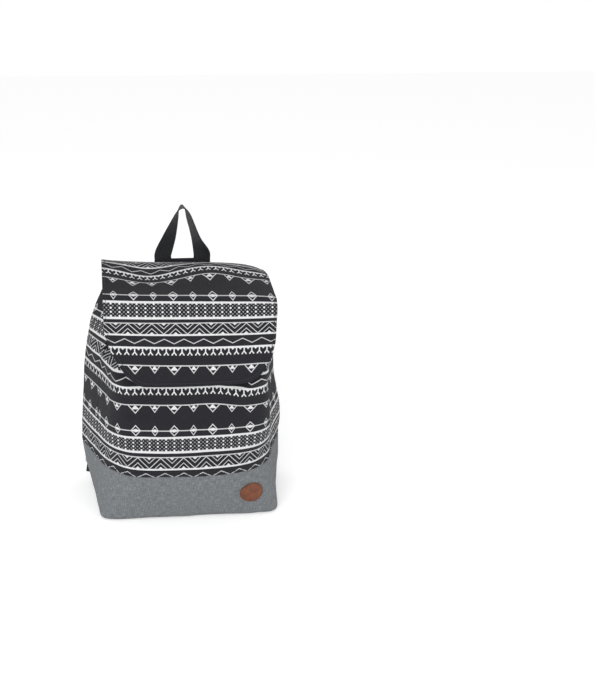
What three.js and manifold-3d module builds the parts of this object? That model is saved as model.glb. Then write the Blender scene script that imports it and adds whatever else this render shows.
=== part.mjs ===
// Convertible canvas backpack: a boxed bag with a print top and a plain base, a fold-over flap,
// a webbing grab handle and one shoulder strap clipped to D-rings at the lower back corners.
// Millimetres, +Z up. The bag stands on its bottom panel, the front faces -Y, the origin is the
// middle of the bottom panel's underside.

import * as THREE from "three";
import { mergeVertices } from "three/addons/utils/BufferGeometryUtils.js";
import Module from "manifold-3d";

const wasm = await Module();
wasm.setup();

// Clearances
const SEAM_GAP = 0.3;
const CLEAR = 0.3;

// Body heights
const BASE_EDGE_HEIGHT = 9;
const BASE_SEAM_HEIGHT = 78;
const SWELL_HEIGHT = 150;
const SHOULDER_HEIGHT = 275;
const MOUTH_HEIGHT = 340;

// Body plan at each height: width of the front and back faces, and how far each lies from the middle
const BASE_FRONT_WIDTH = 273;
const BASE_BACK_WIDTH = 293;
const BASE_FRONT_REACH = 58;
const BASE_BACK_REACH = 74;
const SEAM_FRONT_WIDTH = 229;
const SEAM_BACK_WIDTH = 327;
const SEAM_FRONT_REACH = 63;
const SEAM_BACK_REACH = 76;
const SWELL_FRONT_WIDTH = 222;
const SWELL_BACK_WIDTH = 320;
const SWELL_FRONT_REACH = 62;
const SWELL_BACK_REACH = 76;
const SHOULDER_FRONT_WIDTH = 200;
const SHOULDER_BACK_WIDTH = 294;
const SHOULDER_FRONT_REACH = 66;
const SHOULDER_BACK_REACH = 68;
const MOUTH_FRONT_WIDTH = 208;
const MOUTH_BACK_WIDTH = 238;
const MOUTH_FRONT_REACH = 71;
const MOUTH_BACK_REACH = 52;
const BASE_CORNER_RADIUS = 16;
const SEAM_CORNER_RADIUS = 80;
const SWELL_CORNER_RADIUS = 54;
const SHOULDER_CORNER_RADIUS = 40;
const MOUTH_CORNER_RADIUS = 14;
const BACK_CORNER_RADIUS = 14;
const FRONT_BOW = 12;
const BACK_BOW = 7;
const BASE_EDGE_INSET = 8;
const GUSSET_TUCK = 30;
const GUSSET_TUCK_START = 200;
const GUSSET_TUCK_EASE = 1.8;

// Cloth and webbing
const CANVAS = 1.8;
const LINING = 1;
const WEBBING = 1.6;
const HANDLE_WIDTH = 25;
const STRAP_WIDTH = 30;
const TAB_WIDTH = 25;

// Flap
const FLAP_WIDTH = 240;
const FLAP_SEAM_HEIGHT = 322;
const FLAP_TOP_HEIGHT = 379;
const FLAP_HEM_HEIGHT = 226;
const FLAP_CORNER_WIDTH = 44;
const FLAP_CORNER_DEPTH = 68;
const FLAP_STAND_OFF = 5;
const FLAP_HEM_LIFT = 2;
const FLAP_SIDE_DROP = 7;

// Grab handle and the loop that carries the shoulder strap
const HANDLE_SPREAD = 29;
const HANDLE_RISE = 70;
const HANDLE_NECK_DROP = 2;
const STRIP_HALF = 38;
const STRIP_DROP = 8;
const STRAP_LOOP_DROP = 42;
const STRAP_LOOP_GAP = 6;

// Leather patch
const PATCH_RADIUS = 17.5;
const PATCH_THICKNESS = 1.8;
const PATCH_X = 93;
const PATCH_HEIGHT = 42;

// D-rings and their tabs
const RING_WIRE = 1.6;
const RING_DEPTH = 18;
const TAB_LENGTH = 15;
const CHAIN_HEIGHT = 12;
const CHAIN_LEAN = 0.16;
const CHAIN_TILT = 0.26;
const CHAIN_CORNER = 6;
const UPPER_RING_X = 74;

// Swivel hook
const HOOK_WIRE = 1.9;
const HOOK_BEND = 6.6;
const HOOK_TIP_RISE = 5;
const GATE_LENGTH = 11;
const GATE_WIRE = 1.4;
const GATE_EAR = 1.3;
const PIN_RADIUS = 0.9;
const BARREL_RADIUS = 4.6;
const BARREL_LENGTH = 8;
const POST_RADIUS = 2;
const HOOK_PLAY = 1;
const EYE_BAR = 1.7;
const EYE_HEIGHT = 14;

// Slider on the strap
const SLIDER_BAR = 1.4;
const SLIDER_SLOT = 8;
const STRAP_SLACK = 30;
const STRAP_LEAD = 34;
const STRAP_FAN_X = 52;
const STRAP_FAN_DROP = 48;
const STRAP_NECK_X = 34;
const STRAP_NECK_DROP = 16;
const STRAP_CREST_X = 16;
const STRAP_SEWN = 26;
const SLIDER_PLACE = 0.62;

// Mesh detail
const CORNER_STEPS = 4;
const FACE_STEPS = 8;
const SIDE_STEPS = 4;
const WIRE_SIDES = 8;
const PROBE = 1e-3;

// Geometry helpers

/** Closed solid geometry from flat coordinates and triangle indices. */
function closedGeometry(points, faces) {
  const geometry = new THREE.BufferGeometry();
  geometry.setAttribute("position", new THREE.Float32BufferAttribute(points.flatMap((p) => p.toArray()), 3));
  geometry.setIndex(faces);
  return geometry;
}

/** Boolean solid of a closed geometry. */
function solid(geometry) {
  const bare = geometry.clone();
  bare.deleteAttribute("normal");
  bare.deleteAttribute("uv");
  const merged = mergeVertices(bare, PROBE);
  const vertProperties = new Float32Array(merged.attributes.position.array);
  const triVerts = new Uint32Array(merged.index.array);
  return new wasm.Manifold(new wasm.Mesh({ numProp: 3, vertProperties, triVerts }));
}

/** Geometry of a boolean solid. */
function fromSolid(body) {
  const mesh = body.getMesh();
  const geometry = new THREE.BufferGeometry();
  geometry.setAttribute("position", new THREE.BufferAttribute(new Float32Array(mesh.vertProperties), 3));
  geometry.setIndex(new THREE.BufferAttribute(new Uint32Array(mesh.triVerts), 1));
  return geometry;
}

/** Solid box between two corners. */
function box(low, high) {
  const size = new THREE.Vector3().subVectors(high, low);
  const middle = new THREE.Vector3().addVectors(low, high).multiplyScalar(0.5);
  return new THREE.BoxGeometry(size.x, size.y, size.z).translate(middle.x, middle.y, middle.z);
}

/** Solid between closed rings of equal length, listed upwards and running anticlockwise from above. */
function loft(rings) {
  const count = rings[0].length;
  const points = rings.flat();
  const faces = [];
  for (let level = 0; level + 1 < rings.length; level += 1) {
    for (let i = 0; i < count; i += 1) {
      const a = level * count + i;
      const b = level * count + ((i + 1) % count);
      faces.push(a, b, b + count, a, b + count, a + count);
    }
  }
  const ends = [rings[0], rings[rings.length - 1]];
  ends.forEach((ring, end) => {
    const middle = ring.reduce((sum, p) => sum.add(p), new THREE.Vector3()).divideScalar(count);
    const hub = points.push(middle) - 1;
    const start = end === 0 ? 0 : (rings.length - 1) * count;
    for (let i = 0; i < count; i += 1) {
      const a = start + i;
      const b = start + ((i + 1) % count);
      faces.push(hub, end === 0 ? b : a, end === 0 ? a : b);
    }
  });
  return closedGeometry(points, faces);
}

/** Solid sheet on surface(u, v), u and v from 0 to 1, filling from low to high along its normal. */
function sheet(surface, across, along, low, high) {
  const points = [];
  const row = across + 1;
  const layer = row * (along + 1);
  for (const offset of [low, high]) {
    for (let j = 0; j <= along; j += 1) {
      for (let i = 0; i <= across; i += 1) {
        const u = i / across;
        const v = j / along;
        const du = u > 0.5 ? -PROBE : PROBE;
        const dv = v > 0.5 ? -PROBE : PROBE;
        const here = surface(u, v);
        const alongU = surface(u + du, v).sub(here).multiplyScalar(Math.sign(du));
        const alongV = surface(u, v + dv).sub(here).multiplyScalar(Math.sign(dv));
        points.push(here.add(alongU.cross(alongV).normalize().multiplyScalar(offset)));
      }
    }
  }
  const faces = [];
  const quad = (a, b, c, d) => faces.push(a, b, c, a, c, d);
  for (let j = 0; j < along; j += 1) {
    for (let i = 0; i < across; i += 1) {
      const a = j * row + i;
      quad(a, a + row, a + row + 1, a + 1);
      quad(layer + a, layer + a + 1, layer + a + row + 1, layer + a + row);
    }
  }
  for (let i = 0; i < across; i += 1) {
    const top = along * row + i;
    quad(i, i + 1, layer + i + 1, layer + i);
    quad(top + 1, top, layer + top, layer + top + 1);
  }
  for (let j = 0; j < along; j += 1) {
    const a = j * row;
    const b = a + across;
    quad(a + row, a, layer + a, layer + a + row);
    quad(b, b + row, layer + b + row, layer + b);
  }
  return closedGeometry(points, faces);
}

/** Round wire of the given radius along a closed curve. */
function closedWire(curve, radius, steps) {
  const frames = curve.computeFrenetFrames(steps, true);
  const points = [];
  const faces = [];
  for (let i = 0; i < steps; i += 1) {
    const centre = curve.getPointAt(i / steps);
    for (let k = 0; k < WIRE_SIDES; k += 1) {
      const angle = (2 * Math.PI * k) / WIRE_SIDES;
      const spoke = frames.normals[i].clone().multiplyScalar(Math.cos(angle) * radius);
      points.push(spoke.addScaledVector(frames.binormals[i], Math.sin(angle) * radius).add(centre));
    }
  }
  for (let i = 0; i < steps; i += 1) {
    for (let k = 0; k < WIRE_SIDES; k += 1) {
      const next = (k + 1) % WIRE_SIDES;
      const a = i * WIRE_SIDES;
      const b = ((i + 1) % steps) * WIRE_SIDES;
      faces.push(a + k, a + next, b + next, a + k, b + next, b + k);
    }
  }
  return closedGeometry(points, faces);
}

/** Round wire of the given radius along an open curve. */
function openWire(curve, radius, steps) {
  const section = new THREE.Shape().absarc(0, 0, radius, 0, 2 * Math.PI);
  return new THREE.ExtrudeGeometry(section, { steps, extrudePath: curve, curveSegments: WIRE_SIDES / 2 });
}

/** Turned solid about Z from [radius, height] pairs that start and end on the axis. */
function turned(profile, sides = 16) {
  const outline = profile.map(([radius, height]) => new THREE.Vector2(radius, height));
  return new THREE.LatheGeometry(outline, sides).rotateX(Math.PI / 2);
}

/** Smooth value at x through [x, value] pairs, flat past both ends. */
function smoothThrough(pairs, x) {
  const last = pairs.length - 1;
  if (x <= pairs[0][0]) {
    return pairs[0][1];
  }
  if (x >= pairs[last][0]) {
    return pairs[last][1];
  }
  const i = pairs.findIndex(([place]) => place > x) - 1;
  const slope = (k) => {
    const before = pairs[Math.max(k - 1, 0)];
    const after = pairs[Math.min(k + 1, last)];
    return (after[1] - before[1]) / (after[0] - before[0]);
  };
  const span = pairs[i + 1][0] - pairs[i][0];
  const t = (x - pairs[i][0]) / span;
  const ends = (1 + 2 * t) * (1 - t) ** 2 * pairs[i][1] + t * t * (3 - 2 * t) * pairs[i + 1][1];
  return ends + t * (1 - t) ** 2 * span * slope(i) + t * t * (t - 1) * span * slope(i + 1);
}

// Body form

/** Value of a body size at height z from its base, base seam, swell, shoulder and mouth values. */
function bodySize(z, base, seam, swell, shoulder, mouth) {
  const pairs = [
    [0, base],
    [BASE_SEAM_HEIGHT, seam],
    [SWELL_HEIGHT, swell],
    [SHOULDER_HEIGHT, shoulder],
    [MOUTH_HEIGHT, mouth],
  ];
  return smoothThrough(pairs, z);
}

/** Inset of the rounded bottom edge at height z. */
function edgeInset(z) {
  const down = Math.max(0, 1 - z / BASE_EDGE_HEIGHT);
  return BASE_EDGE_INSET * (1 - Math.sqrt(1 - down * down));
}

/** Plan of the body at height z, inset from its outer face. */
function bodyPlan(z, inset) {
  const all = inset + edgeInset(z);
  const tuckShare = Math.max(0, (z - GUSSET_TUCK_START) / (MOUTH_HEIGHT - GUSSET_TUCK_START));
  const frontWidth = bodySize(
    z, BASE_FRONT_WIDTH, SEAM_FRONT_WIDTH, SWELL_FRONT_WIDTH, SHOULDER_FRONT_WIDTH, MOUTH_FRONT_WIDTH,
  );
  const backWidth = bodySize(
    z, BASE_BACK_WIDTH, SEAM_BACK_WIDTH, SWELL_BACK_WIDTH, SHOULDER_BACK_WIDTH, MOUTH_BACK_WIDTH,
  );
  const frontReach = bodySize(
    z, BASE_FRONT_REACH, SEAM_FRONT_REACH, SWELL_FRONT_REACH, SHOULDER_FRONT_REACH, MOUTH_FRONT_REACH,
  );
  const backReach = bodySize(
    z, BASE_BACK_REACH, SEAM_BACK_REACH, SWELL_BACK_REACH, SHOULDER_BACK_REACH, MOUTH_BACK_REACH,
  );
  const corner = bodySize(
    z, BASE_CORNER_RADIUS, SEAM_CORNER_RADIUS, SWELL_CORNER_RADIUS,
    SHOULDER_CORNER_RADIUS, MOUTH_CORNER_RADIUS,
  );
  const sideways = all + inset * tuckShare * GUSSET_TUCK_EASE;
  const fullness = Math.sin(Math.PI * Math.min(1, Math.max(0, z / MOUTH_HEIGHT)) ** 0.7);
  return {
    frontHalf: frontWidth / 2 - sideways,
    backHalf: backWidth / 2 - sideways,
    front: -frontReach + all,
    back: backReach - all,
    corner: corner - all / 2,
    backCorner: BACK_CORNER_RADIUS - all / 2,
    tuck: GUSSET_TUCK * tuckShare * tuckShare,
    frontBow: FRONT_BOW * fullness,
    backBow: BACK_BOW * fullness,
  };
}

/** How far a face of half width half bows out at x. */
function bowAt(x, half, bow) {
  const share = Math.min(1, Math.abs(x) / half);
  return bow * (1 - share * share);
}

/** Y of the body's outer front face. */
function frontY(x, z) {
  const plan = bodyPlan(z, 0);
  return plan.front - bowAt(x, plan.frontHalf, plan.frontBow);
}

/** Y of the body's outer back face. */
function backY(x, z) {
  const plan = bodyPlan(z, 0);
  return plan.back + bowAt(x, plan.backHalf, plan.backBow);
}

/** Closed ring of the body at height z, anticlockwise from above from the front left corner. */
function bodyRing(z, inset) {
  const plan = bodyPlan(z, inset);
  const corners = [
    new THREE.Vector2(-plan.frontHalf, plan.front),
    new THREE.Vector2(plan.frontHalf, plan.front),
    new THREE.Vector2(plan.backHalf, plan.back),
    new THREE.Vector2(-plan.backHalf, plan.back),
  ];
  const arcs = corners.map((corner, i) => {
    const toLast = corners[(i + 3) % 4].clone().sub(corner).normalize();
    const toNext = corners[(i + 1) % 4].clone().sub(corner).normalize();
    const radius = i < 2 ? plan.corner : plan.backCorner;
    const reach = radius / Math.tan(Math.acos(toLast.dot(toNext)) / 2);
    const start = corner.clone().addScaledVector(toLast, reach);
    const end = corner.clone().addScaledVector(toNext, reach);
    return new THREE.QuadraticBezierCurve(start, corner, end).getPoints(CORNER_STEPS);
  });
  const bowed = (p, i) => {
    const out = i < 2 ? -bowAt(p.x, plan.frontHalf, plan.frontBow) : bowAt(p.x, plan.backHalf, plan.backBow);
    return new THREE.Vector2(p.x, p.y + out);
  };
  const ring = [];
  arcs.forEach((arc, i) => {
    ring.push(...arc.map((p) => bowed(p, i)));
    const next = arcs[(i + 1) % 4][0];
    const steps = i % 2 === 0 ? FACE_STEPS : SIDE_STEPS;
    for (let k = 1; k < steps; k += 1) {
      const t = k / steps;
      const p = arc[CORNER_STEPS].clone().lerp(next, t);
      if (i % 2 === 0) {
        ring.push(bowed(p, i));
      } else {
        p.x -= Math.sign(p.x) * plan.tuck * (1 - Math.abs(2 * t - 1));
        ring.push(p);
      }
    }
  });
  return ring.map((p) => new THREE.Vector3(p.x, p.y, z));
}

/** Heights from low to high in about even steps. */
function heights(low, high, steps) {
  return Array.from({ length: steps + 1 }, (_, i) => low + ((high - low) * i) / steps);
}

/** Open shell of the body between two heights, from inset outer to inset inner. */
function bodyShell(levels, outer, inner, floor) {
  const shell = solid(loft(levels.map((z) => bodyRing(z, outer))));
  const hollow = levels.filter((z) => z > levels[0] + floor);
  hollow.unshift(floor > 0 ? levels[0] + floor : levels[0] - 1);
  hollow[hollow.length - 1] += 1;
  const rings = hollow.map((z) => {
    const ring = bodyRing(Math.min(Math.max(z, levels[0]), levels[levels.length - 1]), inner);
    ring.forEach((p) => p.setZ(z));
    return ring;
  });
  return shell.subtract(solid(loft(rings)));
}

/** Front and back halves of a shell, parted at the side seams. */
function frontAndBack(shell) {
  const reach = FLAP_WIDTH + SEAM_BACK_WIDTH;
  const gap = SEAM_GAP / 2;
  const front = box(new THREE.Vector3(-reach, -reach, -reach), new THREE.Vector3(reach, -gap, reach * 2));
  const back = box(new THREE.Vector3(-reach, gap, -reach), new THREE.Vector3(reach, reach, reach * 2));
  return [front, back].map((half) => fromSolid(shell.intersect(solid(half))));
}

// Assembly

const X = new THREE.Vector3(1, 0, 0);
const Y = new THREE.Vector3(0, 1, 0);
const bag = new THREE.Group();

const FINISH = {
  print: { color: 0x3a3a3d, roughness: 0.92, metalness: 0 },
  grey_canvas: { color: 0x828385, roughness: 0.95, metalness: 0 },
  lining: { color: 0x1a1b1e, roughness: 0.9, metalness: 0 },
  webbing: { color: 0x202225, roughness: 0.8, metalness: 0 },
  leather: { color: 0x98562e, roughness: 0.6, metalness: 0 },
  nickel: { color: 0xc4c4c2, roughness: 0.28, metalness: 1 },
};

/** Add a named piece with its finish to a group. */
function piece(parent, name, geometry, finish) {
  const mesh = new THREE.Mesh(geometry, new THREE.MeshStandardMaterial(FINISH[finish]));
  mesh.name = name;
  parent.add(mesh);
}

/** Webbing along stations of place and width direction. */
function ribbon(stations, width, steps) {
  const path = new THREE.CatmullRomCurve3(stations.map((station) => station.at));
  const sides = new THREE.CatmullRomCurve3(stations.map((station) => station.side));
  const surface = (u, v) => {
    const along = path.getTangent(v);
    const side = sides.getPoint(v);
    side.addScaledVector(along, -side.dot(along)).normalize();
    return path.getPoint(v).addScaledVector(side, (u - 0.5) * width);
  };
  return sheet(surface, 1, steps, -WEBBING / 2, WEBBING / 2);
}

// Body panels, base and lining

function addBody() {
  const seamTop = BASE_SEAM_HEIGHT + SEAM_GAP;
  const panelLevels = heights(seamTop, MOUTH_HEIGHT, 9);
  const upper = bodyShell(panelLevels, 0, CANVAS, 0);
  const [frontPanel, backPanel] = frontAndBack(upper);
  piece(bag, "front_panel", frontPanel, "print");
  piece(bag, "back_panel", backPanel, "print");

  const edge = [0.12, 0.35, 0.65].map((share) => share * BASE_EDGE_HEIGHT);
  const bandLevels = [...edge, ...heights(BASE_EDGE_HEIGHT, BASE_SEAM_HEIGHT, 7)];
  const [baseFront, baseBack] = frontAndBack(bodyShell(bandLevels, 0, CANVAS, 0));
  piece(bag, "base_front", baseFront, "grey_canvas");
  piece(bag, "base_back", baseBack, "grey_canvas");

  const footInset = CANVAS + CLEAR;
  const footLevels = [0, bandLevels[0] + CANVAS];
  const footRings = footLevels.map((z) => {
    const ring = bodyRing(bandLevels[0], footInset);
    ring.forEach((p) => p.setZ(z));
    return ring;
  });
  piece(bag, "bottom_panel", loft(footRings), "grey_canvas");

  const liningFoot = footLevels[1] + CLEAR;
  const liningInset = CANVAS + CLEAR;
  const above = [...bandLevels, ...panelLevels].filter((z) => z > liningFoot + LINING);
  const liningLevels = [liningFoot, ...above];
  const liningShell = bodyShell(liningLevels, liningInset, liningInset + LINING, LINING);
  piece(bag, "lining", fromSolid(liningShell), "lining");
}

// Flap

const FLAP_BACK_LIFT = LINING + 5 * CLEAR;
const FLAP_CORNER_ROWS = 6;
const FLAP_ROWS = 20;
const FLAP_PROFILE = (() => {
  const peak = FLAP_TOP_HEIGHT - CANVAS;
  const backRim = backY(0, MOUTH_HEIGHT) + FLAP_BACK_LIFT;
  const frontRim = frontY(0, MOUTH_HEIGHT) - FLAP_STAND_OFF - LINING;
  const points = [
    [backY(0, FLAP_SEAM_HEIGHT) + FLAP_BACK_LIFT, FLAP_SEAM_HEIGHT],
    [backRim, MOUTH_HEIGHT],
  ];
  const crest = [[0.94, 0.25], [0.7, 0], [0.49, 0.2], [0.25, 0.48], [0.08, 0.68]];
  for (const [share, fall] of crest) {
    points.push([backRim * share + frontRim * (1 - share), peak - fall * (peak - MOUTH_HEIGHT)]);
  }
  const drops = [0.05, 0.2, 0.4, 0.6, 0.8, 1];
  for (const share of drops) {
    const z = MOUTH_HEIGHT + (FLAP_HEM_HEIGHT - MOUTH_HEIGHT) * share;
    points.push([frontY(0, z) - FLAP_STAND_OFF - LINING - FLAP_HEM_LIFT * share * share, z]);
  }
  return new THREE.CatmullRomCurve3(points.map(([y, z]) => new THREE.Vector3(0, y, z)));
})();

/** Outer surface of the flap's lining side, from the back seam over the top to the hem. */
function flapSurface(u, v) {
  const length = FLAP_PROFILE.getLength();
  const straightRows = FLAP_ROWS - FLAP_CORNER_ROWS;
  const row = v * FLAP_ROWS;
  const turn = Math.max(0, (row - straightRows) / FLAP_CORNER_ROWS) * (Math.PI / 2);
  const straight = (length - FLAP_CORNER_DEPTH) * Math.min(1, row / straightRows);
  const along = straight + FLAP_CORNER_DEPTH * Math.sin(turn);
  const half = FLAP_WIDTH / 2 - FLAP_CORNER_WIDTH * (1 - Math.cos(turn));
  const x = half * (1 - 2 * u);
  const p = FLAP_PROFILE.getPointAt(Math.min(1, Math.max(0, along / length)));
  const behind = p.y > backY(0, MOUTH_HEIGHT);
  const face = behind ? backY : frontY;
  const share = (2 * x) / FLAP_WIDTH;
  const sideDrop = FLAP_SIDE_DROP * share ** 4;
  const onTop = Math.min(1, Math.max(0, (p.z - MOUTH_HEIGHT) / (FLAP_TOP_HEIGHT - MOUTH_HEIGHT)));
  const level = Math.min(p.z, MOUTH_HEIGHT);
  p.y += (face(x, level) - face(0, level)) * (1 - onTop);
  p.y += behind ? 0 : (sideDrop / 2) * (1 - onTop);
  p.z -= sideDrop * onTop;
  p.x = x;
  return p;
}

function addFlap() {
  const across = 10;
  piece(bag, "flap_outer", sheet(flapSurface, across, FLAP_ROWS, 0, CANVAS), "print");
  piece(bag, "flap_lining", sheet(flapSurface, across, FLAP_ROWS, -CLEAR - LINING, -CLEAR), "lining");
}

// Grab handle, strap loop and patch

const FLAP_BACK_FACE = FLAP_BACK_LIFT + CANVAS + CLEAR + WEBBING / 2;
const HANDLE_TOP = FLAP_TOP_HEIGHT + HANDLE_RISE;

function addHandle() {
  const foot = FLAP_SEAM_HEIGHT;
  const y = backY(0, foot) + FLAP_BACK_FACE;
  const neck = FLAP_TOP_HEIGHT - HANDLE_NECK_DROP;
  const stripTop = FLAP_TOP_HEIGHT - STRIP_DROP;
  const rise = HANDLE_TOP - neck;
  const left = [
    { x: HANDLE_SPREAD, y, z: foot, turn: 0 },
    { x: HANDLE_SPREAD, y, z: (foot + stripTop) / 2, turn: 0 },
    { x: HANDLE_SPREAD, y, z: stripTop, turn: 0 },
    { x: HANDLE_SPREAD, y, z: neck, turn: 0 },
    { x: HANDLE_SPREAD * 0.69, y, z: neck + rise * 0.35, turn: 0.16 },
    { x: HANDLE_SPREAD * 0.4, y, z: neck + rise * 0.7, turn: 0.32 },
    { x: HANDLE_SPREAD * 0.2, y, z: neck + rise * 0.93, turn: 0.44 },
  ];
  const leg = (sign) => left.map((point) => {
    const angle = Math.PI * (sign < 0 ? point.turn : 1 - point.turn);
    const side = new THREE.Vector3(Math.cos(angle), Math.sin(angle), 0);
    return { at: new THREE.Vector3(sign * point.x, point.y, point.z), side };
  });
  const top = { at: new THREE.Vector3(0, y, HANDLE_TOP), side: Y.clone() };
  piece(bag, "grab_handle", ribbon([...leg(-1), top, ...leg(1).reverse()], HANDLE_WIDTH, 40), "webbing");

  const stripY = y + WEBBING + 2 * CLEAR;
  const stripZ = stripTop - HANDLE_WIDTH / 2;
  const strip = [-1, 0, 1].map((share) => ({
    at: new THREE.Vector3(share * STRIP_HALF, stripY, stripZ),
    side: new THREE.Vector3(0, 0, 1),
  }));
  piece(bag, "handle_strip", ribbon(strip, HANDLE_WIDTH, 6), "webbing");
}

const LOOP_SEAM = FLAP_SEAM_HEIGHT - STRAP_LOOP_GAP;
const LOOP_FOOT = LOOP_SEAM - STRAP_LOOP_DROP;
const LOOP_REACH = STRAP_WIDTH + 8 * CLEAR;
const LOOP_INNER = backY(0, LOOP_FOOT) + CLEAR + WEBBING / 2;
const LOOP_OUTER = LOOP_INNER + LOOP_REACH + WEBBING;

function addStrapLoop() {
  const innerTop = backY(0, LOOP_SEAM) + CLEAR + WEBBING / 2;
  const bend = 5;
  const route = [
    [innerTop, LOOP_SEAM],
    [LOOP_INNER, LOOP_FOOT + bend * 2],
    [LOOP_INNER + 0.2, LOOP_FOOT + bend * 0.6],
    [LOOP_INNER + bend * 0.6, LOOP_FOOT],
    [(LOOP_INNER + LOOP_OUTER) / 2, LOOP_FOOT - bend * 0.2],
    [LOOP_OUTER - bend * 0.6, LOOP_FOOT],
    [LOOP_OUTER - 0.2, LOOP_FOOT + bend * 0.6],
    [LOOP_OUTER, LOOP_FOOT + bend * 2],
    [(LOOP_INNER + LOOP_OUTER) / 2, LOOP_SEAM - bend * 2],
    [innerTop + WEBBING + 3 * CLEAR, LOOP_SEAM - bend * 0.6],
    [innerTop + WEBBING + 3 * CLEAR, LOOP_SEAM],
  ];
  const stations = route.map(([y, z]) => ({ at: new THREE.Vector3(0, y, z), side: X.clone() }));
  piece(bag, "strap_loop", ribbon(stations, TAB_WIDTH, 24), "webbing");
}

/** Y of the body's front outline at x, round its corners too. */
function outlineY(x, z) {
  const ring = bodyRing(z, 0);
  const i = ring.findIndex((p, k) => p.y < 0 && p.x <= x && ring[k + 1].x > x);
  const share = (x - ring[i].x) / (ring[i + 1].x - ring[i].x);
  return ring[i].y + (ring[i + 1].y - ring[i].y) * share;
}

function addPatch() {
  const lift = 3 * CLEAR;
  const surface = (u, v) => {
    const a = 2 * u - 1;
    const b = 2 * v - 1;
    const x = PATCH_X + PATCH_RADIUS * a * Math.sqrt(1 - (b * b) / 2);
    const z = PATCH_HEIGHT + PATCH_RADIUS * b * Math.sqrt(1 - (a * a) / 2);
    return new THREE.Vector3(x, outlineY(x, z), z);
  };
  piece(bag, "leather_patch", sheet(surface, 10, 10, lift, lift + PATCH_THICKNESS), "leather");
}

// D-rings, tabs and swivel hooks, each built upright about its own Z axis

const RING_HALF = TAB_WIDTH / 2 + RING_WIRE + CLEAR * 2;
const RING_TOP = TAB_LENGTH + RING_DEPTH;
const HOOK_FOOT = RING_TOP - RING_WIRE - HOOK_PLAY - HOOK_WIRE;
const HOOK_CENTRE = HOOK_FOOT + HOOK_BEND;
const HOOK_TIP = HOOK_CENTRE + HOOK_TIP_RISE;
const GATE_PIVOT = HOOK_TIP + CLEAR + GATE_LENGTH;
const GATE_ROOT = GATE_WIRE + PIN_RADIUS;
const BARREL_FOOT = GATE_PIVOT + GATE_ROOT + CLEAR;
const BARREL_TOP = BARREL_FOOT + BARREL_LENGTH;
const EYE_FOOT = BARREL_TOP + CLEAR;
const EYE_INNER = EYE_FOOT + 2 * EYE_BAR;
const EYE_TOP = EYE_INNER + EYE_HEIGHT + EYE_BAR;
const EYE_HALF = STRAP_WIDTH / 2 + 3 * CLEAR;
const PIN_CLEAR = CLEAR / 2;

/** Bent round wire in the plane x = 0 through [y, z] points. */
function planeCurve(points) {
  return new THREE.CatmullRomCurve3(points.map(([y, z]) => new THREE.Vector3(0, y, z)), false, "chordal");
}

/** Folded webbing tab around the bar of its ring. */
function tabGeometry() {
  const wrap = RING_WIRE + CLEAR + WEBBING / 2;
  const route = [
    [wrap, 0],
    [wrap, TAB_LENGTH * 0.5],
    [wrap, TAB_LENGTH],
    [wrap * 0.707, TAB_LENGTH + wrap * 0.707],
    [0, TAB_LENGTH + wrap],
    [-wrap * 0.707, TAB_LENGTH + wrap * 0.707],
    [-wrap, TAB_LENGTH],
    [-wrap, TAB_LENGTH * 0.5],
    [-wrap, 0],
  ];
  const stations = route.map(([y, z]) => ({ at: new THREE.Vector3(0, y, z), side: X.clone() }));
  return ribbon(stations, TAB_WIDTH, 24);
}

/** D-ring with its straight bar in the tab's fold. */
function ringGeometry() {
  const outline = new THREE.CurvePath();
  const foot = TAB_LENGTH;
  const point = (x, z) => new THREE.Vector3(x, 0, z);
  const shoulder = foot + RING_DEPTH * 0.35;
  const corner = RING_WIRE * 2;
  outline.add(new THREE.LineCurve3(point(-RING_HALF + corner, foot), point(RING_HALF - corner, foot)));
  const bend = (x, z, cx, cz, ex, ez) =>
    outline.add(new THREE.QuadraticBezierCurve3(point(x, z), point(cx, cz), point(ex, ez)));
  bend(RING_HALF - corner, foot, RING_HALF, foot, RING_HALF, foot + corner);
  outline.add(new THREE.LineCurve3(point(RING_HALF, foot + corner), point(RING_HALF, shoulder)));
  const arch = (x0, x1, from, to) => outline.add(new THREE.CubicBezierCurve3(
    point(x0, from),
    point(x0 === 0 ? x1 * 0.55 : x0, x0 === 0 ? from : from + (to - from) * 0.55),
    point(x1 === 0 ? x0 * 0.55 : x1, x1 === 0 ? to : to + (from - to) * 0.55),
    point(x1, to),
  ));
  arch(RING_HALF, 0, shoulder, RING_TOP);
  arch(0, -RING_HALF, RING_TOP, shoulder);
  outline.add(new THREE.LineCurve3(point(-RING_HALF, shoulder), point(-RING_HALF, foot + corner)));
  bend(-RING_HALF, foot + corner, -RING_HALF, foot, -RING_HALF + corner, foot);
  return closedWire(outline, RING_WIRE, 28);
}

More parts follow.
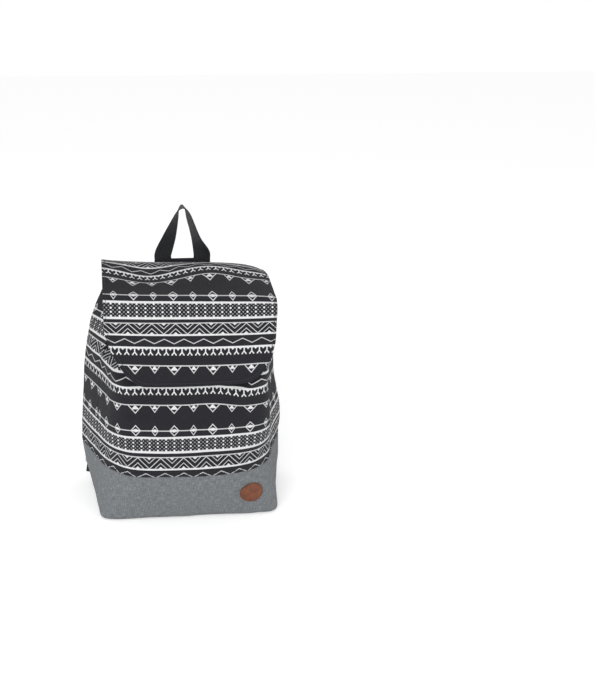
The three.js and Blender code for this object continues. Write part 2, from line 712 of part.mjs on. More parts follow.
/** Cast hook with its barrel, riveted swivel post and the ears of the gate. */
function hookGeometry() {
  const bowl = [];
  const turns = 8;
  for (let i = 0; i <= turns; i += 1) {
    const angle = Math.PI * (1 + i / turns);
    bowl.push([HOOK_BEND * Math.cos(angle), HOOK_CENTRE + HOOK_BEND * Math.sin(angle)]);
  }
  const arm = planeCurve([
    [0, BARREL_FOOT + HOOK_WIRE],
    [-HOOK_BEND * 0.6, BARREL_FOOT - HOOK_WIRE],
    [-HOOK_BEND, GATE_PIVOT - GATE_LENGTH * 0.4],
    ...bowl,
    [HOOK_BEND, HOOK_TIP],
  ]);
  const headFoot = EYE_INNER + CLEAR;
  const headTop = headFoot + POST_RADIUS;
  const stem = turned([
    [0, BARREL_FOOT],
    [BARREL_RADIUS * 0.8, BARREL_FOOT],
    [BARREL_RADIUS, BARREL_FOOT + 1],
    [BARREL_RADIUS, BARREL_TOP - 1],
    [BARREL_RADIUS * 0.8, BARREL_TOP],
    [POST_RADIUS, BARREL_TOP],
    [POST_RADIUS, headFoot],
    [POST_RADIUS * 1.8, headFoot],
    [POST_RADIUS * 1.4, headTop],
    [0, headTop],
  ]);
  const earX = GATE_WIRE + CLEAR + GATE_EAR;
  const lug = box(
    new THREE.Vector3(-earX, 0, GATE_PIVOT - GATE_ROOT),
    new THREE.Vector3(earX, HOOK_BEND + GATE_ROOT, BARREL_FOOT + HOOK_WIRE),
  );
  const slot = box(
    new THREE.Vector3(-GATE_WIRE - CLEAR, HOOK_BEND - GATE_ROOT - 3 * CLEAR, GATE_PIVOT - 2 * GATE_ROOT),
    new THREE.Vector3(GATE_WIRE + CLEAR, HOOK_BEND + 2 * GATE_ROOT, BARREL_FOOT),
  );
  const bore = new THREE.CylinderGeometry(PIN_RADIUS + PIN_CLEAR, PIN_RADIUS + PIN_CLEAR, 4 * earX, 12);
  bore.rotateZ(Math.PI / 2).translate(0, HOOK_BEND, GATE_PIVOT);
  const cast = solid(openWire(arm, HOOK_WIRE, 26)).add(solid(stem)).add(solid(lug));
  return fromSolid(cast.subtract(solid(slot)).subtract(solid(bore)));
}

/** Sprung gate that closes the hook, with its thumb rest and pin hole. */
function gateGeometry() {
  const tip = HOOK_TIP + CLEAR * 2;
  const thumb = GATE_PIVOT - GATE_LENGTH * 0.45;
  const shape = new THREE.Shape();
  shape.moveTo(HOOK_BEND - GATE_WIRE, tip);
  shape.lineTo(HOOK_BEND + GATE_WIRE, tip);
  shape.lineTo(HOOK_BEND + GATE_WIRE, thumb - GATE_WIRE * 2);
  shape.lineTo(HOOK_BEND + GATE_WIRE * 2.6, thumb);
  shape.lineTo(HOOK_BEND + GATE_WIRE, thumb + GATE_WIRE * 1.2);
  shape.absarc(HOOK_BEND, GATE_PIVOT, GATE_ROOT, -0.6, Math.PI + 0.6);
  shape.lineTo(HOOK_BEND - GATE_WIRE, tip);
  shape.holes.push(new THREE.Path().absarc(HOOK_BEND, GATE_PIVOT, PIN_RADIUS + PIN_CLEAR, 0, 2 * Math.PI));
  const cut = { depth: 2 * GATE_WIRE, bevelEnabled: false, curveSegments: 6 };
  const plate = new THREE.ExtrudeGeometry(shape, cut);
  plate.translate(0, 0, -GATE_WIRE);
  return plate.rotateX(Math.PI / 2).rotateZ(Math.PI / 2);
}

/** Pin of the gate, flush with the outside of the ears. */
function gatePinGeometry() {
  const length = 2 * (GATE_WIRE + CLEAR + GATE_EAR);
  const pin = new THREE.CylinderGeometry(PIN_RADIUS, PIN_RADIUS, length, 12);
  return pin.rotateZ(Math.PI / 2).translate(0, HOOK_BEND, GATE_PIVOT);
}

/** Rectangular strap eye that turns on the hook's post. */
function eyeGeometry() {
  const outerHalf = EYE_HALF + 2 * EYE_BAR;
  const low = new THREE.Vector3(-outerHalf, -EYE_BAR, EYE_FOOT);
  const high = new THREE.Vector3(outerHalf, EYE_BAR, EYE_TOP + EYE_BAR);
  const holeLow = new THREE.Vector3(-EYE_HALF, -2 * EYE_BAR, EYE_INNER);
  const holeHigh = new THREE.Vector3(EYE_HALF, 2 * EYE_BAR, EYE_TOP - EYE_BAR);
  const boss = turned([
    [0, EYE_FOOT],
    [BARREL_RADIUS, EYE_FOOT],
    [BARREL_RADIUS, EYE_INNER],
    [0, EYE_INNER],
  ]);
  const postHole = new THREE.CylinderGeometry(POST_RADIUS + CLEAR, POST_RADIUS + CLEAR, 6 * EYE_BAR, 16);
  postHole.rotateX(Math.PI / 2).translate(0, 0, EYE_FOOT);
  const frame = solid(box(low, high)).subtract(solid(box(holeLow, holeHigh)));
  return fromSolid(frame.add(solid(boss)).subtract(solid(postHole)));
}

const STAND_OFF = RING_WIRE + 3 * CLEAR + WEBBING;

/** Group at a lower back corner whose Z axis runs along the strap. */
function chainGroup(sign) {
  const group = new THREE.Group();
  const x = bodyPlan(CHAIN_HEIGHT, 0).backHalf - CHAIN_CORNER;
  const y = backY(x - TAB_WIDTH / 2, CHAIN_HEIGHT) + STAND_OFF;
  group.position.set(sign * x, y, CHAIN_HEIGHT);
  group.rotation.set(-CHAIN_TILT, -sign * CHAIN_LEAN, 0);
  group.updateMatrixWorld(true);
  bag.add(group);
  return group;
}

const SIDES = [
  ["left", -1],
  ["right", 1],
];
const chains = {};

function addLowerHardware() {
  for (const [side, sign] of SIDES) {
    const group = chainGroup(sign);
    chains[side] = group;
    piece(group, `lower_tab_${side}`, tabGeometry(), "webbing");
    piece(group, `lower_d_ring_${side}`, ringGeometry(), "nickel");
    piece(group, `hook_${side}`, hookGeometry(), "nickel");
    piece(group, `gate_${side}`, gateGeometry(), "nickel");
    piece(group, `gate_pin_${side}`, gatePinGeometry(), "nickel");
    piece(group, `swivel_eye_${side}`, eyeGeometry(), "nickel");
  }
}

/** Spare rings for the shoulder-bag use, hanging upside down inside the mouth on the back wall. */
function addUpperHardware() {
  const inset = CANVAS + CLEAR + LINING;
  const top = MOUTH_HEIGHT - 2 * STAND_OFF;
  for (const [side, sign] of SIDES) {
    const group = new THREE.Group();
    const plan = bodyPlan(top, inset);
    const wall = plan.back + bowAt(UPPER_RING_X + TAB_WIDTH / 2, plan.backHalf, plan.backBow);
    group.position.set(sign * UPPER_RING_X, wall - STAND_OFF + CLEAR, top);
    group.rotation.set(Math.PI, 0, 0);
    bag.add(group);
    piece(group, `upper_tab_${side}`, tabGeometry(), "webbing");
    piece(group, `upper_d_ring_${side}`, ringGeometry(), "nickel");
  }
}

// Shoulder strap: one length of webbing from hook to hook through the strap loop, with a slider

/** Place and direction at the eye bar of one hook. */
function eyeBar(side) {
  const matrix = chains[side].matrixWorld;
  return {
    at: new THREE.Vector3(0, 0, EYE_TOP).applyMatrix4(matrix),
    up: new THREE.Vector3(0, 0, 1).transformDirection(matrix),
    side: X.clone().transformDirection(matrix),
  };
}

/** Middle line of the strap from the right eye bar, over the loop, to the left eye bar. */
function strapRun() {
  const crest = LOOP_FOOT + 2 * WEBBING + 2 * CLEAR;
  const middle = (LOOP_INNER + LOOP_OUTER) / 2;
  const half = (sign, bar) => {
    const lifted = bar.at.clone().addScaledVector(bar.up, STRAP_LEAD);
    const fan = new THREE.Vector3(sign * STRAP_FAN_X, middle + WEBBING, crest - STRAP_FAN_DROP);
    const neck = new THREE.Vector3(sign * STRAP_NECK_X, middle, crest - STRAP_NECK_DROP);
    const bulge = lifted.clone().lerp(fan, 0.5);
    bulge.y += STRAP_SLACK / 2;
    return [
      { at: bar.at, side: bar.side },
      { at: lifted, side: bar.side },
      { at: bulge, side: X.clone() },
      { at: fan, side: new THREE.Vector3(0.8, sign * 0.6, 0) },
      { at: neck, side: new THREE.Vector3(0.25, sign * 0.97, 0) },
      {
        at: new THREE.Vector3(sign * STRAP_CREST_X, middle, crest - CANVAS / 2),
        side: new THREE.Vector3(0, sign, 0),
      },
    ];
  };
  const right = half(1, eyeBar("right"));
  const left = half(-1, eyeBar("left"));
  left.forEach((station) => station.side.negate());
  const top = { at: new THREE.Vector3(0, middle, crest), side: Y.clone() };
  return [...right, top, ...left.reverse()];
}

function addStrap() {
  const run = strapRun();
  const path = new THREE.CatmullRomCurve3(run.map((station) => station.at), false, "centripetal");
  const sides = run.map((station) => station.side);
  const length = path.getLength();
  const sideAt = (t) => {
    const place = t * (sides.length - 1);
    const i = Math.min(Math.floor(place), sides.length - 2);
    return sides[i].clone().lerp(sides[i + 1], place - i);
  };

  /** Frame of the strap s along its run, past its ends too. */
  const frameAt = (s) => {
    const share = Math.min(1, Math.max(0, s / length));
    const t = path.getUtoTmapping(share);
    const along = path.getTangent(t);
    const side = sideAt(t);
    side.addScaledVector(along, -side.dot(along)).normalize();
    const out = new THREE.Vector3().crossVectors(side, along).negate();
    const at = path.getPoint(t).addScaledVector(along, s - share * length);
    return { at, along, side, out };
  };
  const station = ([s, lift]) => {
    const frame = frameAt(s);
    return { at: frame.at.addScaledVector(frame.out, lift), side: frame.side };
  };

  const wrap = EYE_BAR * Math.SQRT2 + CLEAR + WEBBING / 2;
  const under = WEBBING + CLEAR * 2;
  const sewn = STRAP_SEWN;
  const barLift = SLIDER_BAR * Math.SQRT2 + 2 * CLEAR + WEBBING / 2;
  const pitch = SLIDER_SLOT + 2 * SLIDER_BAR;
  const slider = length * (0.5 + SLIDER_PLACE / 2);
  const half = wrap * Math.SQRT1_2;
  const rightEnd = [
    [sewn, -under],
    [sewn / 2, -under],
    [0, -wrap],
    [-half, -half],
    [-wrap, 0],
    [-half, half],
    [0, wrap],
    [sewn / 2, 0.5],
    [sewn, 0],
  ];
  const plain = heights(sewn * 2, slider - 3 * pitch, 18).map((s) => [s, 0]);
  const throughSlider = [
    [slider - 2 * pitch, -0.5],
    [slider - pitch, -barLift],
    [slider - pitch / 2, 0.8],
    [slider, barLift + under],
    [slider + pitch / 2, 1.6],
    [slider + pitch, -barLift],
    [slider + 2 * pitch, -0.5],
  ];
  const doubled = heights(slider + 3 * pitch, length - sewn * 1.5, 3);
  const leftEnd = [
    ...doubled.map((s) => [s, 0]),
    [length - sewn / 2, 0.5],
    [length, wrap],
    [length + half, half],
    [length + wrap, 0],
    [length + half, -half],
    [length, -wrap],
    [length - sewn / 2, -under],
    ...doubled.toReversed().map((s) => [s, -under]),
    [slider + 2 * pitch, -under - 0.5],
    [slider + pitch, -barLift - under],
    [slider + pitch * 0.42, -barLift * 0.6],
    [slider + pitch * 0.2, barLift * 0.75],
    [slider - pitch * 0.1, barLift],
    [slider - pitch * 0.26, 0],
    [slider - pitch * 0.2, -barLift * 0.8],
  ];
  const route = [...rightEnd, ...plain, ...throughSlider, ...leftEnd].map(station);
  piece(bag, "shoulder_strap", ribbon(route, STRAP_WIDTH, 170), "webbing");

  const frame = frameAt(slider);
  const group = new THREE.Group();
  group.matrixAutoUpdate = false;
  group.matrix.makeBasis(frame.side, frame.along, new THREE.Vector3().crossVectors(frame.side, frame.along));
  group.matrix.setPosition(frame.at);
  bag.add(group);
  piece(group, "strap_slider", sliderGeometry(pitch), "nickel");
}

/** Flat slider with two slots around its middle bar. */
function sliderGeometry(pitch) {
  const inner = STRAP_WIDTH / 2 + 3 * CLEAR;
  const outer = inner + 2 * SLIDER_BAR;
  const reach = pitch + SLIDER_BAR;
  const lowCorner = new THREE.Vector3(-outer, -reach, -SLIDER_BAR);
  const plate = box(lowCorner, new THREE.Vector3(outer, reach, SLIDER_BAR));
  const slot = (sign) => {
    const near = sign * SLIDER_BAR;
    const far = sign * (SLIDER_BAR + SLIDER_SLOT);
    const low = new THREE.Vector3(-inner, Math.min(near, far), -2 * SLIDER_BAR);
    const high = new THREE.Vector3(inner, Math.max(near, far), 2 * SLIDER_BAR);
    return solid(box(low, high));
  };
  return fromSolid(solid(plate).subtract(slot(1)).subtract(slot(-1)));
}

addBody();
addFlap();
addHandle();
addStrapLoop();
addPatch();
addLowerHardware();
addUpperHardware();
addStrap();

export default bag;
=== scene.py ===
"""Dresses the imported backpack: printed canvas, grey base, webbing, leather patch and nickel fittings."""

import logging
import math
from dataclasses import dataclass
from enum import Enum
from typing import Callable, Iterable, Sequence

import bpy
from mathutils import Matrix, Quaternion, Vector, noise


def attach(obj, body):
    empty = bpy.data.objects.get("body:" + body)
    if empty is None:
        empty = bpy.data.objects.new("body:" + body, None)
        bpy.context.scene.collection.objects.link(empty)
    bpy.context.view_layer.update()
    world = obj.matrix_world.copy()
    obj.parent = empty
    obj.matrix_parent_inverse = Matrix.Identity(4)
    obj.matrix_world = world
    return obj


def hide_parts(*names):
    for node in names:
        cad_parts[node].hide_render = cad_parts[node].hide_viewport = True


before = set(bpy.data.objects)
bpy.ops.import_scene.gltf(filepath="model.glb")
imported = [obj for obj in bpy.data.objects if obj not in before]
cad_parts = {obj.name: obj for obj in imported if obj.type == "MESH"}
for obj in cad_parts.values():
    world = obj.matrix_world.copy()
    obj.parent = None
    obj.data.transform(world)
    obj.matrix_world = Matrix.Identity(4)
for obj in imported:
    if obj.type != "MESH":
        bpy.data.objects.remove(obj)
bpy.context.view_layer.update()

LOG = logging.getLogger("backpack")
MM = 0.001
BAG = "bag"
SIDES = ("left", "right")
CLOTH_UV = "cloth"
BODY_PHASE = 66.0
FLAP_PHASE = 124.0
SHORTEST = 1e-9

Color = tuple[float, float, float]
Place = tuple[float, float]
Table = tuple[tuple[float, float], ...]


class Slot(Enum):
    """Material slot names for the scene's own pieces."""

    PRINT = "print"
    GREY = "grey_canvas"
    LINING = "lining"
    WEBBING = "webbing"
    LEATHER = "leather"


# Small numeric helpers


def clamp(value: float) -> float:
    """Value held between 0 and 1."""
    return max(0.0, min(1.0, value))


def smooth_step(low: float, high: float, value: float) -> float:
    """Smooth share from 0 at low to 1 at high."""
    share = clamp((value - low) / (high - low))
    return share * share * (3.0 - 2.0 * share)


def bump_at(value: float, centre: float, width: float) -> float:
    """Smooth hump of height 1 at centre that fades out a few widths away."""
    return math.exp(-(((value - centre) / width) ** 2))


def reaches_along(path: Sequence[Vector]) -> list[float]:
    """Length of the path up to each of its points."""
    reach = [0.0]
    for a, b in zip(path, path[1:]):
        reach.append(reach[-1] + (b - a).length)
    return reach


def spaced(low: float, high: float, steps: int) -> list[float]:
    """Even places from low to high."""
    return [low + (high - low) * k / steps for k in range(steps + 1)]


def smooth_through(pairs: Sequence[tuple[float, float]], x: float) -> float:
    """Smooth curve through pairs of place and value, flat past both ends.

    Args:
        pairs: Places in rising order, each with its value.
        x: Place to read.

    Returns:
        The value at x.
    """
    last = len(pairs) - 1
    if x <= pairs[0][0]:
        return pairs[0][1]
    if x >= pairs[last][0]:
        return pairs[last][1]
    i = max(k for k in range(last) if pairs[k][0] <= x)

    def slope(k: int) -> float:
        """Slope at pair k from its neighbours."""
        before = pairs[max(k - 1, 0)]
        after = pairs[min(k + 1, last)]
        return (after[1] - before[1]) / (after[0] - before[0])

    span = pairs[i + 1][0] - pairs[i][0]
    t = (x - pairs[i][0]) / span
    ends = (1 + 2 * t) * (1 - t) ** 2 * pairs[i][1] + t * t * (3 - 2 * t) * pairs[i + 1][1]
    return ends + t * (1 - t) ** 2 * span * slope(i) + t * t * (t - 1) * span * slope(i + 1)


# Shader formulas


class Formula:
    """A value in a node tree that takes plain arithmetic, each step a math node."""

    def __init__(self, tree: bpy.types.NodeTree, source: "bpy.types.NodeSocket | float") -> None:
        """Wraps a socket or a number of the given tree."""
        self.tree = tree
        self.source = source

    def feed(self, socket: bpy.types.NodeSocket) -> None:
        """Links or sets this value on an input socket."""
        if isinstance(self.source, (int, float)):
            socket.default_value = self.source
        else:
            self.tree.links.new(self.source, socket)

    def step(self, operation: str, *others: "Formula | float") -> "Formula":
        """One math node on this value and others.

        Args:
            operation: Name of the math operation.
            others: Further operands.

        Returns:
            The node's result.
        """
        node = self.tree.nodes.new("ShaderNodeMath")
        node.operation = operation
        for place, operand in enumerate((self, *others)):
            wrapped = operand if isinstance(operand, Formula) else Formula(self.tree, float(operand))
            wrapped.feed(node.inputs[place])
        return Formula(self.tree, node.outputs[0])

    def __add__(self, other: "Formula | float") -> "Formula":
        """Sum."""
        return self.step("ADD", other)

    def __sub__(self, other: "Formula | float") -> "Formula":
        """Difference."""
        return self.step("SUBTRACT", other)

    def __mul__(self, other: "Formula | float") -> "Formula":
        """Product."""
        return self.step("MULTIPLY", other)

    def __truediv__(self, other: "Formula | float") -> "Formula":
        """Quotient."""
        return self.step("DIVIDE", other)

    def over(self, other: "Formula | float") -> "Formula":
        """1 where this is greater than other, else 0."""
        return self.step("GREATER_THAN", other)

    def under(self, other: "Formula | float") -> "Formula":
        """1 where this is less than other, else 0."""
        return self.step("LESS_THAN", other)

    def most(self, other: "Formula | float") -> "Formula":
        """The greater of the two."""
        return self.step("MAXIMUM", other)

    def least(self, other: "Formula | float") -> "Formula":
        """The lesser of the two."""
        return self.step("MINIMUM", other)

    def size(self) -> "Formula":
        """Absolute value."""
        return self.step("ABSOLUTE")

    def flip(self) -> "Formula":
        """One minus this."""
        return Formula(self.tree, 1.0) - self

    def within(self, low: float, high: float) -> "Formula":
        """1 between low and high, else 0."""
        return self.over(low) * self.under(high)

    def wrap(self, period: float) -> "Formula":
        """Remainder in 0 to period, for negative values too."""
        return self.step("WRAP", period, 0.0)

    def from_middle(self, period: float, shift: float = 0.0) -> "Formula":
        """Signed distance to the nearest of the places shift + k * period."""
        return (self - shift + period / 2).wrap(period) - period / 2


def most_of(parts: Sequence[Formula]) -> Formula:
    """The greatest of several values."""
    total = parts[0]
    for part in parts[1:]:
        total = total.most(part)
    return total


class NodeGroup:
    """A shader node group with named inputs and outputs."""

    def __init__(self, name: str) -> None:
        """Makes an empty group."""
        self.tree = bpy.data.node_groups.new(name, "ShaderNodeTree")
        self.entry = self.tree.nodes.new("NodeGroupInput")
        self.exit = self.tree.nodes.new("NodeGroupOutput")

    def input(
        self, name: str, kind: str = "NodeSocketFloat", value: float | None = None
    ) -> bpy.types.NodeSocket:
        """Adds an input socket.

        Args:
            name: Socket name.
            kind: Socket type.
            value: Default of a plain number.

        Returns:
            The socket inside the group.
        """
        item = self.tree.interface.new_socket(name, in_out="INPUT", socket_type=kind)
        if value is not None:
            item.default_value = value
        return self.entry.outputs[name]

    def number(self, name: str, value: float) -> Formula:
        """Adds a number input and gives it as a formula."""
        return Formula(self.tree, self.input(name, value=value))

    def output(self, name: str, source: Formula) -> None:
        """Adds an output socket fed by a formula."""
        self.tree.interface.new_socket(name, in_out="OUTPUT", socket_type="NodeSocketFloat")
        source.feed(self.exit.inputs[name])

    def stretch(
        self, vector: bpy.types.NodeSocket, scale: tuple[float, float, float]
    ) -> bpy.types.NodeSocket:
        """Coordinates scaled along each axis."""
        node = self.node("ShaderNodeMapping")
        self.tree.links.new(vector, node.inputs["Vector"])
        node.inputs["Scale"].default_value = scale
        return node.outputs[0]

    def node(self, kind: str, **settings: object) -> bpy.types.Node:
        """Adds a node with its settings."""
        node = self.tree.nodes.new(kind)
        for name, value in settings.items():
            setattr(node, name, value)
        return node

    def axes(self, vector: bpy.types.NodeSocket) -> tuple[Formula, Formula, Formula]:
        """The three parts of a vector."""
        split = self.tree.nodes.new("ShaderNodeSeparateXYZ")
        self.tree.links.new(vector, split.inputs[0])
        return tuple(Formula(self.tree, socket) for socket in split.outputs)

    def noise(self, vector: bpy.types.NodeSocket, scale: float, detail: float = 2.0) -> Formula:
        """Noise from 0 to 1 at a scale."""
        node = self.node("ShaderNodeTexNoise")
        self.tree.links.new(vector, node.inputs["Vector"])
        node.inputs["Scale"].default_value = scale
        node.inputs["Detail"].default_value = detail
        return Formula(self.tree, node.outputs["Fac"])


# Shared surface effects


FINE_DETAIL = 3.0
FINEST_DETAIL = 4.0
THIN_INK = 0.85
THINNER_INK = 0.8


@dataclass(frozen=True)
class StripePrint:
    """Geometric stripe print, in millimetres, measured down from the top of its dotted band."""

    repeat: float = 150.5
    pair: float = 54.6
    unit: float = 1.555
    wobble: float = 0.35
    wobble_scale: float = 0.02
    rub_scale: float = 0.9
    rub_least: float = 0.84
    rub_range: float = 0.24

    def group(self) -> bpy.types.NodeTree:
        """Builds the print's node group.

        Returns:
            A group with Vector and Phase inputs and an Ink output, 1 where the print is pale.
        """
        made = NodeGroup("stripe_print")
        vector = made.input("Vector", "NodeSocketVector")
        phase = made.number("Phase", 0.0)
        across, up, _ = made.axes(vector)
        sway = (made.noise(vector, self.wobble_scale) - 0.5) * (2 * self.wobble)
        down = (phase - up + sway).wrap(self.repeat) / self.unit
        x = (across + sway) / self.unit
        pair = self.pair / self.unit
        bands = (self.dots, self.herringbone, self.zigzag, self.teeth, self.triangles, self.diamonds)
        ink = most_of([self.bars(down), *(band(x, down, pair) for band in bands)])
        rubbed = made.noise(vector, self.rub_scale, FINE_DETAIL)
        kept = Formula(made.tree, self.rub_least) + rubbed * self.rub_range
        made.output("Ink", ink * kept.least(1.0))
        return made.tree

    @staticmethod
    def bars(down: Formula) -> Formula:
        """Plain pale bars across the cloth."""
        bars = ((0.0, 2.1, 1.0), (14.7, 17.1, 1.0), (20.7, 21.8, THINNER_INK), (33.0, 34.9, 1.0),
                (46.2, 48.2, 1.0), (64.1, 65.2, THINNER_INK), (90.0, 91.1, 0.75))
        return most_of([down.within(low, high) * strength for low, high, strength in bars])

    @staticmethod
    def dots(x: Formula, down: Formula, pair: float) -> Formula:
        """Dotted band: small dots in a chequer, with larger ones in every other column."""
        column = pair * 3 / 14 / 4
        row = 1.86
        first = 2.7
        band = down.within(1.5, 15.3)
        spots = []
        for radius, period, aside, below, strength in (
            (0.7, 2 * column, 0.0, 0.0, 0.45),
            (0.66, 2 * column, column, row, 0.4),
            (0.95, 4 * column, 0.0, 0.0, 1.0),
        ):
            dy = down.from_middle(2 * row, first + below) / radius
            dx = x.from_middle(period, aside) / radius
            spots.append((dy * dy + dx * dx).under(1.0) * strength)
        return most_of(spots) * band

    @staticmethod
    def herringbone(x: Formula, down: Formula, pair: float) -> Formula:
        """Nested chevrons between two bars, with solid triangles at their points."""
        pitch = pair * 3 / 5
        top, bottom = 21.8, 33.0
        band = down.within(top, bottom)
        rise = x.from_middle(pitch, pair * 0.24).size() * (2 * (bottom - top) / pitch)
        slope = (down - top) - rise
        half_line, half_thin = 0.54, 0.48
        above, below, solid = 5.6, 5.4, 9.0
        main = slope.size().under(half_line)
        upper = (slope + above).size().under(half_thin)
        lower = (slope - below).size().under(half_thin)
        low_point = slope.over(solid)
        high_point = slope.under(-solid)
        lines = (main * THIN_INK).most(upper * THINNER_INK).most(lower * THINNER_INK)
        return lines.most(low_point).most(high_point) * band

    @staticmethod
    def zigzag(x: Formula, down: Formula, pair: float) -> Formula:
        """Thin zigzag between two bars."""
        period = pair / 2
        middle, height, half_line = 40.6, 4.8, 0.47
        wave = x.from_middle(period).size() * (2 * height / period) - height / 2
        return (down - middle + wave).size().under(half_line) * THINNER_INK

    @staticmethod
    def teeth(x: Formula, down: Formula, pair: float) -> Formula:
        """Row of stems that split into two splayed legs, with short points between them."""
        pitch = pair / 5
        top, fork, half_stem, half_leg = 48.2, 51.6, 0.55, 0.66
        splay, foot_place = 0.66, 1.75
        point_slope, half_point = 0.75, 1.35
        off = x.from_middle(pitch).size()
        stem = off.under(half_stem) * down.within(top, 52.3)
        legs = (off - 0.1 - (down - fork) * splay).size().under(half_leg) * down.within(fork, 54.2)
        feet = (off - foot_place).size().under(half_stem) * down.within(53.4, 54.7)
        between = (off - pitch / 2).size()
        point = (between + (down - top) * point_slope).under(half_point) * down.within(48.0, 50.2)
        return stem.most(legs).most(feet).most(point)

    @staticmethod
    def triangles(x: Formula, down: Formula, pair: float) -> Formula:
        """Hanging triangles, large and small in turn, each with a pale one inside."""
        top, line, core_size, core_top = 64.6, 1.35, 0.5, 0.08
        parts = []
        for shift, half, depth in ((0.0, 7.2, 8.9), (pair / 2, 5.2, 7.6)):
            off = x.from_middle(pair, shift).size()
            fall = (down - top) / depth
            edge = off / half + fall
            inside = down.over(top) * edge.under(1.0)
            hollow = edge.under(1.0 - line / depth)
            outline = inside * hollow.flip() * THIN_INK
            upright = off / (half * core_size) + (fall - core_size) * (-1 / core_size)
            core = upright.under(1.0) * fall.within(core_top, core_size)
            parts.append(outline.most(core))
        return most_of(parts)

    @staticmethod
    def diamonds(x: Formula, down: Formula, pair: float) -> Formula:
        """Outlined diamonds on a thin line, with a pale band across each."""
        middle, hollow, flatness = 90.5, 0.77, 3.3
        parts = []
        for shift, wide, tall in ((0.0, 4.9, 5.9), (pair / 2, 3.5, 5.5)):
            off = x.from_middle(pair, shift).size() / wide
            rise = (down - middle).size() / tall
            edge = off + rise
            outline = edge.under(1.0) * edge.under(hollow).flip() * THIN_INK
            lens = (rise * flatness + off).under(1.0)
            parts.append(outline.most(lens))
        return most_of(parts)


def weave_group() -> bpy.types.NodeTree:
    """Plain weave.

    Returns:
        A group with Vector and Pitch inputs, and Height and Slub outputs from 0 to 1.
    """
    made = NodeGroup("plain_weave")
    vector = made.input("Vector", "NodeSocketVector")
    pitch = made.number("Pitch", 0.9)
    across, up, _ = made.axes(vector)
    drift_scale, drift_reach, slub_scale = 0.05, 1.5, 0.6
    drift = (made.noise(vector, drift_scale) - 0.5) * drift_reach
    warp = ((across + drift) / pitch * math.pi).step("SINE")
    weft = ((up + drift) / pitch * math.pi).step("SINE")
    over = (warp * weft).over(0.0)
    height = warp.size() * over + weft.size() * over.flip()
    lengthwise, thickness = 0.18, 1.6
    along = made.noise(made.stretch(vector, (lengthwise, thickness, 1.0)), slub_scale, FINE_DETAIL)
    athwart = made.noise(made.stretch(vector, (thickness, lengthwise, 1.0)), slub_scale, FINE_DETAIL)
    made.output("Height", height)
    made.output("Slub", (along + athwart) * 0.5)
    return made.tree


def webbing_group() -> bpy.types.NodeTree:
    """Ribbed webbing.

    Returns:
        A group with Vector, Rib and Pick inputs, and Height and Tone outputs from 0 to 1.
    """
    made = NodeGroup("webbing_ribs")
    vector = made.input("Vector", "NodeSocketVector")
    rib = made.number("Rib", 3.0)
    pick = made.number("Pick", 1.1)
    across, along, _ = made.axes(vector)
    ridge = (across / rib * math.pi).step("SINE").size()
    chevron, slant, rib_share, tone_scale = 6.0, 0.35, 0.55, 0.7
    lean = across.from_middle(chevron).size() * slant
    cross = ((along + lean) / pick * math.pi).step("SINE").size()
    made.output("Height", ridge * rib_share + cross * (1 - rib_share))
    made.output("Tone", made.noise(vector, tone_scale, FINE_DETAIL))
    return made.tree


def grain_group() -> bpy.types.NodeTree:
    """Leather grain.

    Returns:
        A group with Vector and Size inputs, and Height and Patch outputs from 0 to 1.
    """
    made = NodeGroup("leather_grain")
    vector = made.input("Vector", "NodeSocketVector")
    size = made.number("Size", 1.2)
    cells = made.node("ShaderNodeTexVoronoi", feature="DISTANCE_TO_EDGE")
    made.tree.links.new(vector, cells.inputs["Vector"])
    size.feed(cells.inputs["Scale"])
    flatness, patch_scale = 0.4, 0.12
    creases = Formula(made.tree, cells.outputs["Distance"]).step("POWER", flatness)
    made.output("Height", creases)
    made.output("Patch", made.noise(vector, patch_scale, FINEST_DETAIL))
    return made.tree


def scuff_group() -> bpy.types.NodeTree:
    """Fine scuffs on plated metal.

    Returns:
        A group with a Vector input, and Scuff and Height outputs from 0 to 1.
    """
    made = NodeGroup("metal_scuffs")
    vector = made.input("Vector", "NodeSocketVector")
    scratch_stretch, scratch_scale, cloud_scale = (0.2, 1.0, 3.0), 900.0, 160.0
    scratch = made.noise(made.stretch(vector, scratch_stretch), scratch_scale, FINEST_DETAIL)
    cloud = made.noise(vector, cloud_scale, FINE_DETAIL)
    made.output("Scuff", scratch * 0.5 + cloud * 0.5)
    made.output("Height", scratch)
    return made.tree


# Finishes


